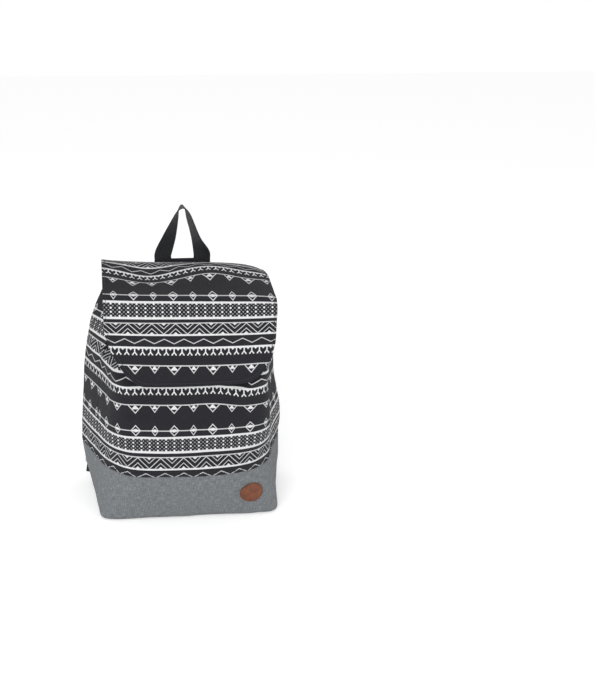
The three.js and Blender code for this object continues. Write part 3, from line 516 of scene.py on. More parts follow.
class Finish:
    """A procedural material: its groups, links and Principled shader."""

    CLOTH_SHINE = 0.22
    BEVEL_SAMPLES = 6

    def __init__(self, name: str) -> None:
        """Makes an empty material with its shader."""
        self.material = bpy.data.materials.new(name)
        self.material.use_nodes = True
        self.tree = self.material.node_tree
        self.shader = self.tree.nodes["Principled BSDF"]

    def place(
        self, group: bpy.types.NodeTree, vector: bpy.types.NodeSocket, **values: float
    ) -> bpy.types.Node:
        """Places a node group.

        Args:
            group: The group's tree.
            vector: Coordinates that it reads.
            values: Numbers for its other inputs.

        Returns:
            The group's node.
        """
        node = self.tree.nodes.new("ShaderNodeGroup")
        node.node_tree = group
        self.tree.links.new(vector, node.inputs["Vector"])
        for name, value in values.items():
            node.inputs[name].default_value = value
        return node

    def cloth_place(self) -> bpy.types.NodeSocket:
        """Place on the cloth, in millimetres across and along it."""
        node = self.tree.nodes.new("ShaderNodeUVMap")
        node.uv_map = CLOTH_UV
        return node.outputs[0]

    def solid_place(self) -> bpy.types.NodeSocket:
        """Place in the object's own space, in metres."""
        return self.tree.nodes.new("ShaderNodeTexCoord").outputs["Object"]

    def formula(self, node: bpy.types.Node, name: str) -> Formula:
        """An output of a node as a formula."""
        return Formula(self.tree, node.outputs[name])

    def mix(
        self,
        share: Formula,
        low: Color | bpy.types.NodeSocket,
        high: Color | bpy.types.NodeSocket,
    ) -> bpy.types.NodeSocket:
        """Mixes two colours.

        Args:
            share: 0 for the low colour and 1 for the high one.
            low: Colour or socket at 0.
            high: Colour or socket at 1.

        Returns:
            The mixed colour.
        """
        node = self.tree.nodes.new("ShaderNodeMix")
        node.data_type = "RGBA"
        share.feed(node.inputs["Factor"])
        for colour, name in ((low, "A"), (high, "B")):
            socket = next(s for s in node.inputs if s.name == name and s.type == "RGBA")
            if isinstance(colour, bpy.types.NodeSocket):
                self.tree.links.new(colour, socket)
            else:
                socket.default_value = (*colour, 1.0)
        return next(s for s in node.outputs if s.type == "RGBA")

    def colour(self, source: bpy.types.NodeSocket) -> None:
        """Feeds the base colour."""
        self.tree.links.new(source, self.shader.inputs["Base Color"])

    def rough(self, least: float, rise: Formula) -> None:
        """Feeds the roughness, a least value and what rises above it."""
        (Formula(self.tree, least) + rise).feed(self.shader.inputs["Roughness"])

    def relief(self, height: Formula, depth: float) -> None:
        """Feeds a bump of the given depth in metres into the normal."""
        node = self.tree.nodes.new("ShaderNodeBump")
        node.inputs["Distance"].default_value = depth
        node.inputs["Strength"].default_value = 1.0
        height.feed(node.inputs["Height"])
        self.tree.links.new(node.outputs[0], self.shader.inputs["Normal"])

    def round_edges(self, radius: float) -> None:
        """Rounds the look of the edges under the bump, within a radius in metres."""
        node = self.tree.nodes.new("ShaderNodeBevel")
        node.samples = self.BEVEL_SAMPLES
        node.inputs["Radius"].default_value = radius
        bump = next(n for n in self.tree.nodes if n.bl_idname == "ShaderNodeBump")
        self.tree.links.new(node.outputs[0], bump.inputs["Normal"])

    def sheen(self, weight: float, roughness: float = 0.5) -> None:
        """Sets a soft sheen and the dull shine of cloth."""
        self.shader.inputs["Specular IOR Level"].default_value = self.CLOTH_SHINE
        self.shader.inputs["Sheen Weight"].default_value = weight
        self.shader.inputs["Sheen Roughness"].default_value = roughness


def linear(red: int, green: int, blue: int) -> Color:
    """Linear colour of a display colour from 0 to 255."""

    def one(value: int) -> float:
        """Linear value of one channel."""
        share = value / 255
        return share / 12.92 if share <= 0.04045 else ((share + 0.055) / 1.055) ** 2.4

    return one(red), one(green), one(blue)


@dataclass(frozen=True)
class Effects:
    """The shared node groups."""

    print: bpy.types.NodeTree
    weave: bpy.types.NodeTree
    ribs: bpy.types.NodeTree
    grain: bpy.types.NodeTree
    scuffs: bpy.types.NodeTree

    @classmethod
    def make(cls) -> "Effects":
        """Builds each group once."""
        return cls(StripePrint().group(), weave_group(), webbing_group(), grain_group(), scuff_group())


@dataclass(frozen=True)
class PrintedCanvas:
    """Black canvas with the pale stripe print."""

    name: str
    phase: float
    ground: Color = linear(27, 27, 32)
    ground_worn: Color = linear(45, 45, 52)
    ink: Color = linear(246, 246, 246)
    ink_shade_and_slub: Color = linear(226, 226, 228)
    thread_pitch: float = 0.8
    roughness: float = 0.82
    depth: float = 0.00035
    sheen: float = 0.05

    def make(self, effects: Effects) -> bpy.types.Material:
        """Builds the material."""
        finish = Finish(self.name)
        place = finish.cloth_place()
        print_node = finish.place(effects.print, place, Phase=self.phase)
        weave = finish.place(effects.weave, place, Pitch=self.thread_pitch)
        slub = finish.formula(weave, "Slub")
        height = finish.formula(weave, "Height")
        dark = finish.mix((slub - 0.35) * 1.6, self.ground, self.ground_worn)
        # Painted shade and highlight: the print goes dimmer in the hollows between the threads and
        # brighter on their crowns, while the slubs add random tone.
        pale = finish.mix((slub - 0.3) * 1.4 * height, self.ink_shade_and_slub, self.ink)
        finish.colour(finish.mix(finish.formula(print_node, "Ink"), dark, pale))
        finish.rough(self.roughness, slub * 0.16)
        finish.relief(height * 0.7 + slub * 0.5, self.depth)
        finish.sheen(self.sheen)
        return finish.material


@dataclass(frozen=True)
class GreyCanvas:
    """Grey melange upholstery cloth."""

    name: str = "grey melange canvas"
    dark: Color = linear(93, 97, 101)
    middle: Color = linear(135, 140, 143)
    light: Color = linear(180, 183, 184)
    thread_pitch: float = 1.1
    roughness: float = 0.86
    depth: float = 0.0006
    sheen: float = 0.15

    def make(self, effects: Effects) -> bpy.types.Material:
        """Builds the material."""
        finish = Finish(self.name)
        place = finish.cloth_place()
        weave = finish.place(effects.weave, place, Pitch=self.thread_pitch)
        slub = finish.formula(weave, "Slub")
        height = finish.formula(weave, "Height")
        low = finish.mix((slub - 0.30) * 3.4, self.dark, self.middle)
        tone = finish.mix((slub - 0.5) * 3.2, low, self.light)
        # Painted shade: the cloth darkens towards the darkest grey in the hollows between the threads,
        # where the weave is low.
        finish.colour(finish.mix(height * 0.45 + 0.55, self.dark, tone))
        finish.rough(self.roughness, slub * 0.12)
        finish.relief(height * 0.8 + slub * 0.6, self.depth)
        finish.sheen(self.sheen)
        return finish.material


@dataclass(frozen=True)
class PlainCloth:
    """Plain dark lining cloth."""

    name: str = "black lining"
    dark: Color = linear(22, 23, 26)
    light: Color = linear(40, 41, 45)
    thread_pitch: float = 0.6
    roughness: float = 0.78
    depth: float = 0.0002

    def make(self, effects: Effects) -> bpy.types.Material:
        """Builds the material."""
        finish = Finish(self.name)
        weave = finish.place(effects.weave, finish.cloth_place(), Pitch=self.thread_pitch)
        slub = finish.formula(weave, "Slub")
        finish.colour(finish.mix((slub - 0.3) * 1.8, self.dark, self.light))
        finish.rough(self.roughness, slub * 0.2)
        finish.relief(finish.formula(weave, "Height"), self.depth)
        return finish.material


@dataclass(frozen=True)
class Webbing:
    """Black ribbed webbing."""

    name: str = "black webbing"
    dark: Color = linear(12, 12, 15)
    light: Color = linear(40, 41, 46)
    roughness: float = 0.52
    depth: float = 0.0005
    sheen: float = 0.1
    sheen_roughness: float = 0.4

    def make(self, effects: Effects) -> bpy.types.Material:
        """Builds the material."""
        finish = Finish(self.name)
        ribs = finish.place(effects.ribs, finish.cloth_place())
        height = finish.formula(ribs, "Height")
        tone = finish.formula(ribs, "Tone")
        # Painted shade and highlight: the grooves between the ribs are darker and the crests lighter,
        # while the noise tone varies at random.
        finish.colour(finish.mix(height * 0.5 + tone * 0.4, self.dark, self.light))
        finish.rough(self.roughness, tone * 0.2)
        finish.relief(height, self.depth)
        finish.sheen(self.sheen, self.sheen_roughness)
        return finish.material


@dataclass(frozen=True)
class Leather:
    """Brown leather."""

    name: str = "brown leather"
    dark: Color = linear(72, 34, 14)
    light: Color = linear(134, 74, 41)
    grain_size: float = 1.1
    roughness: float = 0.62
    depth: float = 0.0002

    def make(self, effects: Effects) -> bpy.types.Material:
        """Builds the material."""
        finish = Finish(self.name)
        grain = finish.place(effects.grain, finish.cloth_place(), Size=self.grain_size)
        height = finish.formula(grain, "Height")
        patch = finish.formula(grain, "Patch")
        # Painted shade: the grain's creases are darker, while the patches vary in tone at random.
        finish.colour(finish.mix((patch - 0.5) * 1.6 + height * 0.3 + 0.3, self.dark, self.light))
        finish.rough(self.roughness, patch * 0.1 - height * 0.16)
        finish.relief(height, self.depth)
        return finish.material


@dataclass(frozen=True)
class Nickel:
    """Polished nickel plate."""

    name: str = "nickel plate"
    bright: Color = linear(214, 212, 208)
    dull: Color = linear(150, 149, 147)
    roughness: float = 0.16
    depth: float = 0.00004
    edge_radius: float = 0.0007

    def make(self, effects: Effects) -> bpy.types.Material:
        """Builds the material."""
        finish = Finish(self.name)
        scuffs = finish.place(effects.scuffs, finish.solid_place())
        scuff = finish.formula(scuffs, "Scuff")
        finish.colour(finish.mix(scuff, self.bright, self.dull))
        finish.rough(self.roughness, scuff * 0.22)
        finish.relief(finish.formula(scuffs, "Height"), self.depth)
        finish.round_edges(self.edge_radius)
        finish.shader.inputs["Metallic"].default_value = 1.0
        return finish.material


@dataclass(frozen=True)
class Thread:
    """Sewing thread."""

    name: str
    dark: Color
    light: Color
    roughness: float = 0.6

    def make(self, effects: Effects) -> bpy.types.Material:
        """Builds the material."""
        finish = Finish(self.name)
        scuffs = finish.place(effects.scuffs, finish.solid_place())
        scuff = finish.formula(scuffs, "Scuff")
        finish.colour(finish.mix(scuff, self.dark, self.light))
        finish.rough(self.roughness, scuff * 0.2)
        return finish.material


# Mesh helpers


def object_of(name: str, mesh: bpy.types.Mesh, material: bpy.types.Material) -> bpy.types.Object:
    """Links a mesh as a smooth-shaded piece with its material."""
    piece = bpy.data.objects.new(name, mesh)
    bpy.context.scene.collection.objects.link(piece)
    mesh.materials.append(material)
    mesh.shade_smooth()
    return piece


def mesh_of(
    name: str,
    points: Sequence[Vector],
    faces: Sequence[Sequence[int]],
    places: Sequence[Place],
) -> bpy.types.Mesh:
    """Mesh in metres with the cloth coordinates of each corner.

    Args:
        name: Mesh name.
        points: Corners in millimetres.
        faces: Corner numbers of each face.
        places: Cloth place of each corner, in millimetres.

    Returns:
        The mesh.
    """
    mesh = bpy.data.meshes.new(name)
    mesh.from_pydata([point * MM for point in points], [], faces)
    layer = mesh.uv_layers.new(name=CLOTH_UV)
    for loop in mesh.loops:
        layer.data[loop.index].uv = places[loop.vertex_index]
    mesh.update()
    return mesh


def grid_faces(rows: int, columns: int, start: int = 0, flip: bool = False) -> list[tuple[int, ...]]:
    """Faces of a grid of corners in rows.

    Args:
        rows: Corners along.
        columns: Corners across.
        start: Number of the first corner.
        flip: Whether the faces look the other way.

    Returns:
        Four corner numbers for each face.
    """
    faces = []
    for j in range(rows - 1):
        for i in range(columns - 1):
            a = start + j * columns + i
            face = (a, a + 1, a + columns + 1, a + columns)
            faces.append(face[::-1] if flip else face)
    return faces


@dataclass
class Sheet:
    """A grid of cloth: its corners in millimetres and their places on the cloth."""

    points: list[list[Vector]]
    places: list[list[Place]]

    @property
    def shape(self) -> tuple[int, int]:
        """Corners along and across."""
        return len(self.points), len(self.points[0])

    def normals(self) -> list[list[Vector]]:
        """Unit normal at each corner."""
        rows, columns = self.shape
        result = []
        for j in range(rows):
            row = []
            for i in range(columns):
                across = self.points[j][min(i + 1, columns - 1)] - self.points[j][max(i - 1, 0)]
                along = self.points[min(j + 1, rows - 1)][i] - self.points[max(j - 1, 0)][i]
                row.append(across.cross(along).normalized())
            result.append(row)
        return result

    def solid(
        self,
        name: str,
        material: bpy.types.Material,
        low: float,
        high: float,
        outward: Vector | None = None,
    ) -> bpy.types.Object:
        """Closed piece of cloth from low to high, in millimetres.

        Args:
            name: Piece name.
            material: Its finish.
            low: Offset of its inner face.
            high: Offset of its outer face.
            outward: Direction of both offsets, or the normals if there is none.

        Returns:
            The piece.
        """
        rows, columns = self.shape
        normals = [[outward] * columns] * rows if outward else self.normals()
        points: list[Vector] = []
        places: list[Place] = []
        for offset in (low, high):
            for j in range(rows):
                for i in range(columns):
                    points.append(self.points[j][i] + normals[j][i] * offset)
                    places.append(self.places[j][i])
        layer = rows * columns
        faces = grid_faces(rows, columns, 0, True) + grid_faces(rows, columns, layer)
        rim = list(range(columns))
        rim += [j * columns + columns - 1 for j in range(1, rows)]
        rim += [(rows - 1) * columns + i for i in range(columns - 2, -1, -1)]
        rim += [j * columns for j in range(rows - 2, 0, -1)]
        for place, corner in enumerate(rim):
            after = rim[(place + 1) % len(rim)]
            faces.append((corner, after, after + layer, corner + layer))
        return object_of(name, mesh_of(name, points, faces, places), material)

    def area(self) -> float:
        """Area of the middle surface in square metres."""
        total = 0.0
        rows, columns = self.shape
        for j in range(rows - 1):
            for i in range(columns - 1):
                a, b = self.points[j][i], self.points[j][i + 1]
                c, d = self.points[j + 1][i + 1], self.points[j + 1][i]
                total += ((c - a).cross(d - b)).length / 2
        return total * MM * MM


def join(name: str, pieces: Sequence[bpy.types.Object]) -> bpy.types.Object:
    """Joins pieces into the first and renames it."""
    bpy.ops.object.select_all(action="DESELECT")
    for piece in pieces:
        piece.select_set(True)
    bpy.context.view_layer.objects.active = pieces[0]
    bpy.ops.object.join()
    pieces[0].name = name
    pieces[0].data.name = name
    return pieces[0]


def settle(piece: bpy.types.Object, slot: Slot, nodes: Sequence[str] = ()) -> bpy.types.Object:
    """Hides the nodes that a piece stands for and attaches it to the body it rides on.

    Args:
        piece: The piece.
        slot: Its material slot; not used.
        nodes: Nodes that it stands for, if any.

    Returns:
        The same piece.
    """
    if nodes:
        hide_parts(*nodes)
    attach(piece, BAG)
    LOG.info("%s rides on %s", piece.name, BAG)
    return piece


THREAD_SIDES = 6
STITCH_LIFTS = (-0.5, 0.55, 0.75, 0.55, -0.5)
STITCH_END = 0.72
STITCH_PROBE = 0.2


def thread_run(
    name: str,
    path: Sequence[Vector],
    outward: Sequence[Vector],
    material: bpy.types.Material,
    stitch: float = 3.2,
    gap: float = 0.9,
    radius: float = 0.42,
) -> bpy.types.Object:
    """Row of stitches along a path, each a small bent bead that dips into the cloth at its ends.

    Args:
        name: Piece name.
        path: Points on the cloth's face, in millimetres.
        outward: Outward direction at each point.
        material: Thread finish.
        stitch: Length of one stitch.
        gap: Gap between stitches.
        radius: Thread radius.

    Returns:
        One piece that holds all the stitches.
    """
    reach = reaches_along(path)

    def at(distance: float) -> tuple[Vector, Vector]:
        """Point and outward direction a distance along the path."""
        k = 0
        while k < len(reach) - 2 and reach[k + 1] < distance:
            k += 1
        share = clamp((distance - reach[k]) / max(reach[k + 1] - reach[k], SHORTEST))
        return path[k].lerp(path[k + 1], share), outward[k].lerp(outward[k + 1], share).normalized()

    points: list[Vector] = []
    faces: list[tuple[int, ...]] = []
    sides = THREAD_SIDES
    last = len(STITCH_LIFTS) - 1
    count = max(1, int(reach[-1] / (stitch + gap)))
    for k in range(count):
        start = (k + 0.5) * reach[-1] / count - stitch / 2
        base = len(points)
        for j, lift in enumerate(STITCH_LIFTS):
            distance = start + stitch * j / last
            middle, out = at(distance)
            ahead, _ = at(distance + STITCH_PROBE)
            behind, _ = at(distance - STITCH_PROBE)
            along = (ahead - behind).normalized()
            across = along.cross(out).normalized()
            thick = radius * (STITCH_END if j in (0, last) else 1.0)
            for s in range(sides):
                angle = math.tau * s / sides
                spoke = across * math.cos(angle) + out * math.sin(angle)
                points.append(middle + out * (radius * lift) + spoke * thick)
        for j in range(last):
            for s in range(sides):
                a = base + j * sides + s
                b = base + j * sides + (s + 1) % sides
                faces.append((a, b, b + sides, a + sides))
        faces.append(tuple(base + s for s in reversed(range(sides))))
        faces.append(tuple(base + last * sides + s for s in range(sides)))
    places = [(point.x, point.z) for point in points]
    return object_of(name, mesh_of(name, points, faces, places), material)


# Forms


class Curve:
    """Smooth centripetal curve through points, read by length."""

    CLOSEST = 1e-4

    def __init__(self, points: Sequence[Vector], steps: int = 24) -> None:
        """Samples the curve between each pair of points.

        Args:
            points: Points that the curve passes through.
            steps: Samples between two points.
        """
        self.samples: list[Vector] = []
        last = len(points) - 1
        for k in range(last):
            before = points[k - 1] if k > 0 else points[0] * 2 - points[1]
            after = points[k + 2] if k + 2 <= last else points[last] * 2 - points[last - 1]
            for step in range(steps):
                self.samples.append(self.between(before, points[k], points[k + 1], after, step / steps))
        self.samples.append(points[last].copy())
        self.reach = reaches_along(self.samples)
        self.length = self.reach[-1]

    @classmethod
    def between(cls, p0: Vector, p1: Vector, p2: Vector, p3: Vector, t: float) -> Vector:
        """Point between p1 and p2 at share t."""
        gaps = [max((b - a).length ** 0.5, cls.CLOSEST) for a, b in ((p0, p1), (p1, p2), (p2, p3))]
        start = (p1 - p0) / gaps[0] - (p2 - p0) / (gaps[0] + gaps[1]) + (p2 - p1) / gaps[1]
        end = (p2 - p1) / gaps[1] - (p3 - p1) / (gaps[1] + gaps[2]) + (p3 - p2) / gaps[2]
        start *= gaps[1]
        end *= gaps[1]
        bend = (p1 - p2) * 2 + start + end
        turn = (p2 - p1) * 3 - start * 2 - end
        return p1 + start * t + turn * t * t + bend * t ** 3

    def at(self, distance: float) -> Vector:
        """Point a distance along the curve."""
        low, high = 0, len(self.reach) - 1
        while high - low > 1:
            middle = (low + high) // 2
            if self.reach[middle] <= distance:
                low = middle
            else:
                high = middle
        span = max(self.reach[high] - self.reach[low], SHORTEST)
        share = clamp((distance - self.reach[low]) / span)
        return self.samples[low].lerp(self.samples[high], share)


@dataclass(frozen=True)
class Plan:
    """Plan of the body at one height, in millimetres."""

    front_half: float
    back_half: float
    front: float
    back: float
    corner: float
    back_corner: float
    tuck: float
    front_bow: float
    back_bow: float


@dataclass(frozen=True)
class BodyForm:
    """Outer form of the bag's body, in millimetres."""

    edge_height: float = 9.0
    edge_inset: float = 8.0
    seam_height: float = 78.0
    mouth_height: float = 340.0
    levels: tuple[float, ...] = (0.0, 78.0, 150.0, 275.0, 340.0)
    front_widths: tuple[float, ...] = (273.0, 229.0, 222.0, 200.0, 208.0)
    back_widths: tuple[float, ...] = (293.0, 327.0, 320.0, 294.0, 238.0)
    front_reaches: tuple[float, ...] = (58.0, 63.0, 62.0, 66.0, 71.0)
    back_reaches: tuple[float, ...] = (74.0, 76.0, 76.0, 68.0, 52.0)
    corners: tuple[float, ...] = (16.0, 80.0, 40.0, 26.0, 14.0)
    back_corner: float = 14.0
    front_bow: float = 12.0
    back_bow: float = 7.0
    bow_rise: float = 0.7
    side_sag: float = 9.0
    sag_height: float = 205.0
    sag_width: float = 85.0
    foot_sag: float = 6.0
    foot_height: float = 30.0
    foot_width: float = 30.0
    side_swell: Table = (
        (0.0, 1.5), (28.0, 2.5), (47.0, 0.5), (66.0, -3.0), (86.0, -5.5), (105.0, -4.0),
        (134.0, -3.0), (162.0, -5.5), (191.0, -8.0), (235.0, -8.0), (265.0, -3.0), (300.0, 0.0),
    )
    gusset_tuck: float = 30.0
    tuck_start: float = 200.0
    tuck_inset: float = 1.8
    tuck_softness: float = 0.004
    tuck_rest: float = 0.001
    canvas: float = 1.8
    clear: float = 0.3
    lining: float = 1.0
    seam_gap: float = 0.15
    side_columns: int = 16
    corner_columns: int = 12
    face_columns: int = 64

    def size(self, values: Sequence[float], z: float) -> float:
        """Value of a body size at height z."""
        return smooth_through(list(zip(self.levels, values)), z)

    def plan(self, z: float, inset: float = 0.0) -> Plan:
        """Plan at height z, inset from the outer face."""
        down = max(0.0, 1 - z / self.edge_height)
        every = inset + self.edge_inset * (1 - math.sqrt(max(0.0, 1 - down * down)))
        tuck = max(0.0, (z - self.tuck_start) / (self.mouth_height - self.tuck_start))
        sideways = every + inset * tuck * self.tuck_inset
        full = math.sin(math.pi * clamp(z / self.mouth_height) ** self.bow_rise)
        return Plan(
            self.size(self.front_widths, z) / 2 - sideways,
            self.size(self.back_widths, z) / 2 - sideways,
            every - self.size(self.front_reaches, z),
            self.size(self.back_reaches, z) - every,
            self.size(self.corners, z) - every / 2,
            self.back_corner - every / 2,
            self.gusset_tuck * tuck * tuck,
            self.front_bow * full,
            self.back_bow * full,
        )

    @staticmethod
    def bowed(x: float, half: float, bow: float) -> float:
        """How far a face bows out at x."""
        share = min(1.0, abs(x) / half)
        return bow * (1 - share * share)

    def front_y(self, x: float, z: float) -> float:
        """Y of the outer front face."""
        plan = self.plan(z)
        return plan.front - self.bowed(x, plan.front_half, plan.front_bow)

    def back_y(self, x: float, z: float) -> float:
        """Y of the outer back face."""
        plan = self.plan(z)
        return plan.back + self.bowed(x, plan.back_half, plan.back_bow)

    def half_ring(self, z: float, inset: float, front: bool) -> list[Vector]:
        """Half of the ring at height z, from the left side seam to the right one.

        Args:
            z: Height.
            inset: Inset from the outer face.
            front: Whether it is the front half.

        Returns:
            Its points, anticlockwise from above for the front half and clockwise for the back half.
        """
        plan = self.plan(z, inset)
        turn = -1.0 if front else 1.0
        near, far = Vector((plan.front_half, plan.front)), Vector((plan.back_half, plan.back))
        corner, far_corner, bow = plan.corner, plan.back_corner, plan.front_bow
        if not front:
            near, far = far, near
            corner, far_corner, bow = far_corner, corner, plan.back_bow
        to_far = (far - near).normalized()
        to_face = Vector((-1.0, 0.0))
        angle = math.acos(to_far.dot(to_face))
        reach = corner / math.tan(angle / 2)
        far_reach = far_corner / math.tan((math.pi - angle) / 2)
        side_start = far - to_far * far_reach
        side_end = near + to_far * reach
        face_end = near + to_face * reach
        start = clamp((turn * self.seam_gap - side_start.y) / (side_end.y - side_start.y))
        right: list[Vector] = []
        for k in range(self.side_columns):
            t = start + (1 - start) * k / self.side_columns
            at = side_start.lerp(side_end, t)
            folded = 1 - math.sqrt((2 * t - 1) ** 2 + self.tuck_softness) + self.tuck_rest
            at.x -= plan.tuck * folded
            right.append(at)
        for k in range(self.corner_columns):
            t = k / self.corner_columns
            at = side_end * (1 - t) ** 2 + near * (2 * t * (1 - t)) + face_end * t * t
            at.y += turn * self.bowed(at.x, near.x, bow)
            right.append(at)
        face = []
        for k in range(self.face_columns + 1):
            x = face_end.x * (1 - 2 * k / self.face_columns)
            face.append(Vector((x, face_end.y + turn * self.bowed(x, near.x, bow))))
        left = [Vector((-p.x, p.y)) for p in reversed(right)]
        ring = [Vector((p.x, p.y, z)) for p in [*right, *face, *left]]
        sag = self.side_sag * bump_at(z, self.sag_height, self.sag_width)
        sag += self.foot_sag * bump_at(z, self.foot_height, self.foot_width)
        swell = smooth_through(self.side_swell, z)
        for p in ring:
            forward = clamp(p.y / plan.front)
            p.x += (sag * forward + swell * (1 - forward)) * clamp(p.x / plan.front_half) ** 2
        return ring[::-1]


FORM = BodyForm()


@dataclass(frozen=True)
class Crease:
    """Crease of the front under one of the flap's lower corners, in millimetres."""

    side: float
    depth: float
    height: float
    start: float
    full: float
    lean: float = 0.75
    width: float = 8.0
    roll: float = 0.4
    roll_drop: float = 17.0
    roll_width: float = 11.0

    def at(self, point: Vector) -> float:
        """Outward shift of the crease, and of the roll below it, at a point of the body."""
        aside = point.x * self.side
        if point.y > 0 or aside < self.start:
            return 0.0
        share = smooth_step(self.start, self.full, aside)
        line = self.height + self.lean * max(0.0, aside - self.full)
        rolled = self.roll * bump_at(point.z, line - self.roll_drop, self.roll_width)
        return self.depth * share * (rolled - bump_at(point.z, line, self.width))


@dataclass(frozen=True)
class Crumple:
    """Soft unevenness of filled cloth, in millimetres."""

    depth: float = 2.0
    grain: float = 62.0
    fine_depth: float = 0.35
    fine_grain: float = 0.36
    seed: float = 4.0
    creases: tuple[Crease, ...] = (
        Crease(side=-1.0, depth=6.0, height=234.0, start=66.0, full=84.0),
        Crease(side=1.0, depth=11.0, height=224.0, start=52.0, full=76.0),
    )
    print_droop: float = 8.0
    droop_across: Place = (25.0, 88.0)
    droop_up: Place = (150.0, 195.0)

    def at(self, point: Vector) -> float:
        """Outward shift at a point of the body."""
        place = point / self.grain + Vector((self.seed, 0.0, 0.0))
        fine = point / (self.grain * self.fine_grain) + Vector((0.0, self.seed, 0.0))
        uneven = self.depth * (noise.noise(place) + self.fine_depth * noise.noise(fine))
        return uneven + sum(crease.at(point) for crease in self.creases)

    def droop(self, point: Vector) -> float:
        """How far the print hangs down on the right of the front, above the fullest part."""
        if point.y > 0:
            return 0.0
        share = smooth_step(*self.droop_across, point.x) * smooth_step(*self.droop_up, point.z)
        return self.print_droop * share


CRUMPLE = Crumple()


def crumpled(sheet: Sheet) -> Sheet:
    """A sheet shifted along its outward normals by the body's unevenness."""
    moved = []
    for row, normals in zip(sheet.points, sheet.normals()):
        moved.append([point + normal * CRUMPLE.at(point) for point, normal in zip(row, normals)])
    return Sheet(moved, sheet.places)


def body_sheet(
    heights: Sequence[float], inset: float, front: bool, squeeze: float = 1.0, shift: float = 0.0
) -> Sheet:
    """Sheet of the body's front or back half between heights.

    Args:
        heights: Heights of its rows.
        inset: Inset from the outer face.
        front: Whether it is the front half.
        squeeze: How much cloth is gathered into its width.
        shift: Place on the cloth at the middle of the face.

    Returns:
        The sheet, with its normals outward.
    """
    points = []
    places = []
    rise = 0.0
    last: Vector | None = None
    for z in heights:
        ring = FORM.half_ring(z, inset, front)
        if not front:
            ring = ring[::-1]
        middle = len(ring) // 2
        reach = reaches_along(ring)
        rise += (ring[middle] - last).length if last is not None else 0.0
        last = ring[middle]
        points.append(ring)
        line = []
        for point, along in zip(ring, reach):
            line.append(((along - reach[middle]) * squeeze - shift, rise + CRUMPLE.droop(point)))
        places.append(line)
    return Sheet(points, places)


# Sub-assemblies


@dataclass
class Finishes:
    """The made materials."""

    body_print: bpy.types.Material
    flap_print: bpy.types.Material
    grey: bpy.types.Material
    lining: bpy.types.Material
    webbing: bpy.types.Material
    leather: bpy.types.Material
    nickel: bpy.types.Material
    dark_thread: bpy.types.Material
    tan_thread: bpy.types.Material

    @classmethod
    def make(cls) -> "Finishes":
        """Builds every finish once."""
        effects = Effects.make()
        return cls(
            PrintedCanvas("body print canvas", BODY_PHASE).make(effects),
            PrintedCanvas("flap print canvas", FLAP_PHASE).make(effects),
            GreyCanvas().make(effects),
            PlainCloth().make(effects),
            Webbing().make(effects),
            Leather().make(effects),
            Nickel().make(effects),
            Thread("dark thread", linear(24, 24, 27), linear(52, 52, 56)).make(effects),
            Thread("tan thread", linear(96, 52, 28), linear(142, 84, 48)).make(effects),
        )


@dataclass
class Body:
    """The filled bag: print panels, grey base, bottom and lining."""

    finishes: Finishes
    squeeze: float = 0.98
    print_shift: float = -23.1
    rows: int = 74
    base_rows: int = 22
    bottom_rows: int = 8
    edge_shares: tuple[float, ...] = (0.12, 0.22, 0.35, 0.5, 0.65, 0.82)
    bottom_width: float = 0.25
    lining_height: float = 0.36

    def build(self) -> None:
        """Builds the cloth pieces."""
        panel = spaced(FORM.seam_height + FORM.clear, FORM.mouth_height, self.rows)
        edge = [FORM.edge_height * share for share in self.edge_shares]
        base = edge + spaced(FORM.edge_height, FORM.seam_height, self.base_rows)
        for side, front in (("front", True), ("back", False)):
            upper = crumpled(body_sheet(panel, 0.0, front, self.squeeze, self.print_shift))
            self.cloth(f"{side}_panel", upper, self.finishes.body_print, Slot.PRINT, True)
            lower = crumpled(body_sheet(base, 0.0, front))
            self.cloth(f"base_{side}", lower, self.finishes.grey, Slot.GREY)
        self.bottom(edge[0])
        self.inside(edge[0], [*base, *panel])

    def cloth(
        self, node: str, sheet: Sheet, material: bpy.types.Material, slot: Slot, sewn: bool = False
    ) -> None:
        """Adds one canvas piece in place of its node.

        Args:
            node: Node that it stands for.
            sheet: Its outer face.
            material: Its finish.
            slot: Its slot.
            sewn: Whether a row of stitches runs along its lower edge.
        """
        piece = settle(sheet.solid(f"{node}_cloth", material, -FORM.canvas, 0.0), slot, (node,))
        if sewn:
            thread = self.finishes.dark_thread
            row = thread_run(f"{node}_stitches", sheet.points[1], sheet.normals()[1], thread)
            settle(row, slot)
        height = (sheet.places[-1][0][1] - sheet.places[0][0][1]) * MM
        flat = (sheet.area() / height, height)

    def bottom(self, z: float) -> None:
        """Adds the flat bottom panel."""
        inset = FORM.canvas + FORM.clear
        front = FORM.half_ring(z, inset, True)
        back = FORM.half_ring(z, inset, False)
        points = []
        places = []
        for j in range(self.bottom_rows + 1):
            row = []
            for a, b in zip(front, back):
                at = a.lerp(b, j / self.bottom_rows)
                row.append(Vector((at.x, at.y, 0.0)))
            points.append(row)
            places.append([(p.x, p.y) for p in row])
        sheet = Sheet(points, places)
        up = Vector((0.0, 0.0, 1.0))
        piece = sheet.solid("bottom_cloth", self.finishes.grey, 0.0, z + FORM.canvas, up)
        settle(piece, Slot.GREY, ("bottom_panel",))
        flat = (self.bottom_width, sheet.area() / self.bottom_width)

    def inside(self, lowest: float, levels: Sequence[float]) -> None:
        """Adds the lining as a front and a back half that meet at the bottom.

        Args:
            lowest: Height of the lowest canvas row.
            levels: Heights of the canvas rows.
        """
        inset = FORM.canvas + FORM.clear
        foot = lowest + FORM.canvas + FORM.clear
        heights = [foot] + [z for z in levels if z > foot + FORM.lining]
        halves = []
        total = 0.0
        for side, front in (("front", True), ("back", False)):
            sheet = crumpled(body_sheet(heights, inset, front))
            total += sheet.area()
            halves.append(sheet.solid(f"lining_{side}", self.finishes.lining, -FORM.lining, 0.0))
        piece = settle(join("lining_cloth", halves), Slot.LINING, ("lining",))
        flat = (total / self.lining_height, self.lining_height)


